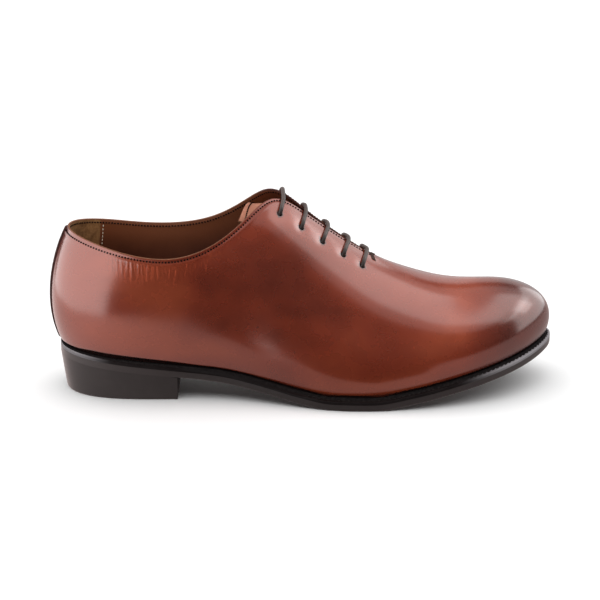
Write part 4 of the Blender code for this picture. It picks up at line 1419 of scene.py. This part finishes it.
def shoe_mesh(name, shape, materials):
    """Mesh of points in millimetres, without loose points and with its faces turned outwards."""
    points, faces, *finishes = shape
    mesh = bpy.data.meshes.new(name)
    mesh.from_pydata(((points + SHIFT) * MM).tolist(), [], faces)
    for material in materials:
        mesh.materials.append(material)
    for finish in finishes:
        mesh.polygons.foreach_set("material_index", np.asarray(finish, dtype=np.int32))
    builder = bmesh.new()
    builder.from_mesh(mesh)
    loose = [vertex for vertex in builder.verts if not vertex.link_faces]
    bmesh.ops.delete(builder, geom=loose, context="VERTS")
    bmesh.ops.recalc_face_normals(builder, faces=builder.faces)
    builder.to_mesh(mesh)
    builder.free()
    return mesh


def shade_smooth(mesh, angle_deg):
    """Smooth shading, with edges kept sharp beyond an angle."""
    mesh.shade_smooth()
    mesh.set_sharp_from_angle(angle=math.radians(angle_deg))


def add_piece(name, shape, materials, nodes=(), smooth_deg=SMOOTH_DEG):
    """Piece that rides on the shoe and stands for CAD nodes."""
    piece = add_object(name, shoe_mesh(name, shape, materials))
    shade_smooth(piece.data, smooth_deg)
    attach(piece, "root")
    if nodes:
        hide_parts(*nodes)
    return piece


def paint_points(mesh, name, values):
    """Writes numbers, or colours of four channels, to a mesh's points under a name."""
    kind, field = ("FLOAT", "value") if values.ndim == 1 else ("FLOAT_COLOR", "color")
    paint = mesh.attributes.new(name, kind, "POINT")
    paint.data.foreach_set(field, values.astype(np.float32).ravel())


def punch_eyelets(upper, material):
    """Cuts the eyelet holes through the facings and keeps the result as the upper's own mesh."""
    cutter = add_object("eyelet_cutter", shoe_mesh("eyelet_cutter", eyelet_cutter_mesh(), (material,)))
    punch = upper.modifiers.new("eyelets", "BOOLEAN")
    punch.operation = "DIFFERENCE"
    punch.object = cutter
    punch.material_mode = "TRANSFER"
    bpy.context.view_layer.update()
    depsgraph = bpy.context.evaluated_depsgraph_get()
    punched = bpy.data.meshes.new_from_object(upper.evaluated_get(depsgraph))
    upper.modifiers.clear()
    upper.data = punched
    shade_smooth(punched, PUNCHED_SMOOTH_DEG)
    bpy.data.objects.remove(cutter)


def add_upper(walls, materials):
    """Upper with its lining, cut edge and punched eyelets."""
    shape = upper_mesh(walls)
    piece = add_piece("upper_shell", shape, materials, ("upper",))
    used = np.unique(np.concatenate(shape[1]))
    colours, tones = upper_finish(walls)
    paint_points(piece.data, "finish", colours[used])
    paint_points(piece.data, "tone", tones[used])
    punch_eyelets(piece, eyelet_wall_leather())


def add_laces():
    """Five lace bars, one for each pair of eyelets."""
    finish = lace_finish()
    for number, (station, height) in enumerate(EYELETS, start=1):
        shape = lace_mesh(station, height)
        bar = add_piece(f"lace_{number}", shape, (finish,), (f"lace_bar_{number}",), ROUND_SMOOTH_DEG)
        shade = lace_shade(shape[0], station, height)
        paint_points(bar.data, "finish", np.repeat(shade[:, None], CHANNELS, axis=1))


def add_stitches(walls):
    """Every seam, and the tack at the end of the throat."""
    dark_thread = thread_finish("dark_thread", TOPLINE_THREAD)
    for name, shape, thread in (
        ("topline_stitches", topline_stitches(walls), dark_thread),
        ("grip_stitches", grip_stitches(walls), thread_finish("pale_thread", GRIP_THREAD)),
        ("tongue_stitches", tongue_stitches(), dark_thread),
        ("welt_stitches", welt_stitches(), thread_finish("welt_thread", WELT_THREAD)),
        ("bar_tack", bar_tack_mesh(), thread_finish("tack_thread", TACK_THREAD)),
    ):
        add_piece(name, shape, (thread,), smooth_deg=ROUND_SMOOTH_DEG)


def dress_shoe():
    """Builds every visible piece of the shoe."""
    walls = upper_walls()
    edge = cut_edge_leather()
    lining = lining_leather()
    add_upper(walls, (cognac_leather(), edge, lining, grip_suede()))
    add_piece("back_strip_leather", back_strip_mesh(), (strip_leather(),), ("back_strip",))
    tongue_finishes = (tongue_leather(), edge, lining)
    add_piece("tongue_leather", tongue_mesh(), tongue_finishes, ("tongue",))
    add_piece("insole_board", insole_mesh(), (insole_leather(),), ("insole",))
    welt_finishes = (sole_edge_finish("welt_face", *WELT_FACE), matt_black_dye_and_shade("welt_top_dye_and_shade"))
    add_piece("welt_strip", welt_mesh(), welt_finishes, ("welt",))
    sole_finishes = (sole_edge_finish("sole_edge", *SOLE_EDGE),)
    add_piece("outsole_leather", outsole_mesh(), sole_finishes, ("outsole",))
    heel_finishes = (sole_edge_finish("heel_edge", *HEEL_EDGE), matt_black_dye_and_shade("heel_breast_painted_shade"))
    add_piece("heel_block", heel_mesh(), heel_finishes, ("heel",))
    add_laces()
    add_stitches(walls)


# Stage, in metres

FLOOR_HALF = 6.0
FLOOR_WHITE = (0.90, 0.90, 0.90)
BLACK = (0.0, 0.0, 0.0)

# Outline of the table that the leather mirrors
MIRRORED_TABLE = (
    (-0.37, 1.30), (-0.37, -0.02), (-0.26, -0.16), (-0.18, -0.195), (-0.13, -0.18), (-0.09, -0.135),
    (-0.07, -0.095), (-0.055, -0.08), (-0.03, -0.095), (0.0, -0.085), (0.05, -0.072), (0.095, -0.09),
    (0.25, -0.32), (1.60, -0.60), (1.60, 1.30))

# Brightness of the mirrored table: where it changes along the shoe, in millimetres, and from what to what
TABLE_LEFT_GLOW = (-220.0, 0.0, 0.78, 0.28)
TABLE_RIGHT_GLOW = (0.0, 150.0, 0.0, 0.11)
TABLE_TINT = (1.2, 1.0, 0.97)

# Camera, aimed at a point in the shoe's own frame, in millimetres
CAMERA_TARGET = (150.0, 0.0, 52.3)
CAMERA_DISTANCE = 1300.0
CAMERA_ELEVATION_DEG = 20.0
CAMERA_LENS = 129.5

# Softboxes that the leather mirrors: name, place and aim, size, brightness and colour
COOL_WHITE = (0.80, 0.97, 1.0)
SOFT_WHITE = (0.96, 0.99, 1.0)
SOFTBOXES = (
    ("key", (1.16, 0.48, 0.67), (0.0, 0.19, 0.67), (1.88, 1.13), 1.42, COOL_WHITE),
    ("key_top", (0.98, 0.04, 1.28), (0.05, 0.0, 0.05), (1.30, 0.84), 1.06, COOL_WHITE),
    ("key_spot", (0.96, 0.14, 0.76), (0.13, 0.0, 0.05), (0.40, 0.40), 1.55, COOL_WHITE),
    ("ceiling", (0.0, 0.10, 1.45), (0.0, 0.10, 0.0), (2.40, 2.30), 0.44, SOFT_WHITE),
    ("left", (-0.64, -0.36, 0.20), (0.0, -0.36, 0.20), (1.56, 1.60), 1.77, SOFT_WHITE),
    ("backdrop", (0.0, 1.40, 0.55), (0.0, 0.0, 0.55), (3.60, 1.10), 0.62, SOFT_WHITE),
)

# Even light from above on the shoe and on the floor: where from, strength and spread in degrees
SHOE_FILL = ((0.0, 0.0, 1.0), 5.2, 160.0)
FLOOR_FILL = ((0.0, 0.50, 1.0), 4.6, 140.0)
FLOOR_SHADES = ("outsole_leather", "heel_block", "welt_strip")
WORLD_GREY = (0.04, 0.04, 0.04, 1.0)


def hide(thing, *rays):
    """Keeps an object out of the camera's view, of shadows or of a kind of reflection."""
    for ray in rays:
        setattr(thing, "visible_" + ray, False)


def aim(thing, place, target):
    """Puts a light or a camera at a place, turned to a target."""
    thing.location = place
    thing.rotation_euler = (Vector(target) - Vector(place)).to_track_quat("-Z", "Y").to_euler()


def ground_sheet(name, corners, material):
    """Flat sheet on the ground."""
    mesh = bpy.data.meshes.new(name)
    mesh.from_pydata([(x, y, 0.0) for x, y in corners], [], [tuple(range(len(corners)))])
    mesh.materials.append(material)
    sheet = add_object(name, mesh)
    return sheet


def floor_white():
    """Plain matt white of the floor."""
    return Nodes("floor_white").shade(Base_Color=FLOOR_WHITE, Roughness=0.9, Specular_IOR_Level=0.1)


def table_glow():
    """Glow of the table that the leather mirrors, brightest towards the heel."""
    nodes = Nodes("table_glow")
    along = nodes.along_shoe()
    glow = nodes.math("ADD", nodes.ramp(along, *TABLE_LEFT_GLOW), nodes.ramp(along, *TABLE_RIGHT_GLOW))
    return nodes.shade(Base_Color=BLACK, Specular_IOR_Level=0.0, Emission_Strength=1.0,
                       Emission_Color=nodes.mix(glow, BLACK, TABLE_TINT))


def add_floor():
    """Plain white floor, of which the leather mirrors only the table around the shoe."""
    corners = [(x * FLOOR_HALF, y * FLOOR_HALF) for x, y in ((-1, -1), (1, -1), (1, 1), (-1, 1))]
    floor = ground_sheet("floor", corners, floor_white())
    hide(floor, "glossy", "diffuse", "shadow")
    hide(ground_sheet("mirrored_table", MIRRORED_TABLE, table_glow()), "camera", "diffuse", "shadow")
    return floor


def add_light(name, kind, place, target):
    """Light that looks at a point and isn't itself seen by the camera."""
    lamp = add_object(name, bpy.data.lights.new(name, kind))
    aim(lamp, place, target)
    hide(lamp, "camera")
    return lamp


def add_fill(name, place, strength, spread_deg):
    """Even light from above that isn't mirrored."""
    lamp = add_light(name, "SUN", place, (0.0, 0.0, 0.0))
    lamp.data.energy = strength
    lamp.data.angle = math.radians(spread_deg)
    hide(lamp, "glossy")
    return lamp


def link_light(lamp, things, state, role="receiver"):
    """Makes a light reach some objects alone or leave them out, or makes them alone block it."""
    collection = bpy.data.collections.new(f"{lamp.name}_{role}s")
    for thing in things:
        collection.objects.link(thing)
    for entry in collection.collection_objects:
        entry.light_linking.link_state = state
    setattr(lamp.light_linking, role + "_collection", collection)


def add_softbox(name, place, target, size, radiance, tint):
    """Panel of light that is only mirrored."""
    lamp = add_light(name, "AREA", place, target)
    lamp.data.shape = "RECTANGLE"
    lamp.data.size, lamp.data.size_y = size
    lamp.data.energy = radiance * math.pi * size[0] * size[1]
    lamp.data.color = tint
    hide(lamp, "diffuse")
    return lamp


def add_studio_light(floor):
    """Soft studio light: panels at each end, behind and above, and an even fill on the shoe and the floor."""
    shoe_lamps = [add_softbox(*softbox) for softbox in SOFTBOXES]
    shoe_lamps.append(add_fill("shoe_fill", *SHOE_FILL))
    for lamp in shoe_lamps:
        link_light(lamp, (floor,), "EXCLUDE")
    floor_fill = add_fill("floor_fill", *FLOOR_FILL)
    link_light(floor_fill, (floor,), "INCLUDE")
    link_light(floor_fill, [bpy.data.objects[name] for name in FLOOR_SHADES], "INCLUDE", role="blocker")
    world = bpy.data.worlds.new("studio")
    world.use_nodes = True
    world.node_tree.nodes["Background"].inputs["Color"].default_value = WORLD_GREY
    bpy.context.scene.world = world


def add_camera():
    """Camera at the photograph's angle to the shoe's lateral side."""
    camera = add_object("camera", bpy.data.cameras.new("camera"))
    camera.data.lens = CAMERA_LENS
    target = Vector(np.array(CAMERA_TARGET) + SHIFT) * MM
    tilt = math.radians(CAMERA_ELEVATION_DEG)
    aim(camera, target + Vector((0.0, -math.cos(tilt), math.sin(tilt))) * CAMERA_DISTANCE * MM, target)
    bpy.context.scene.camera = camera


dress_shoe()
add_camera()
add_studio_light(add_floor())
bpy.context.scene.view_settings.view_transform = "Standard"
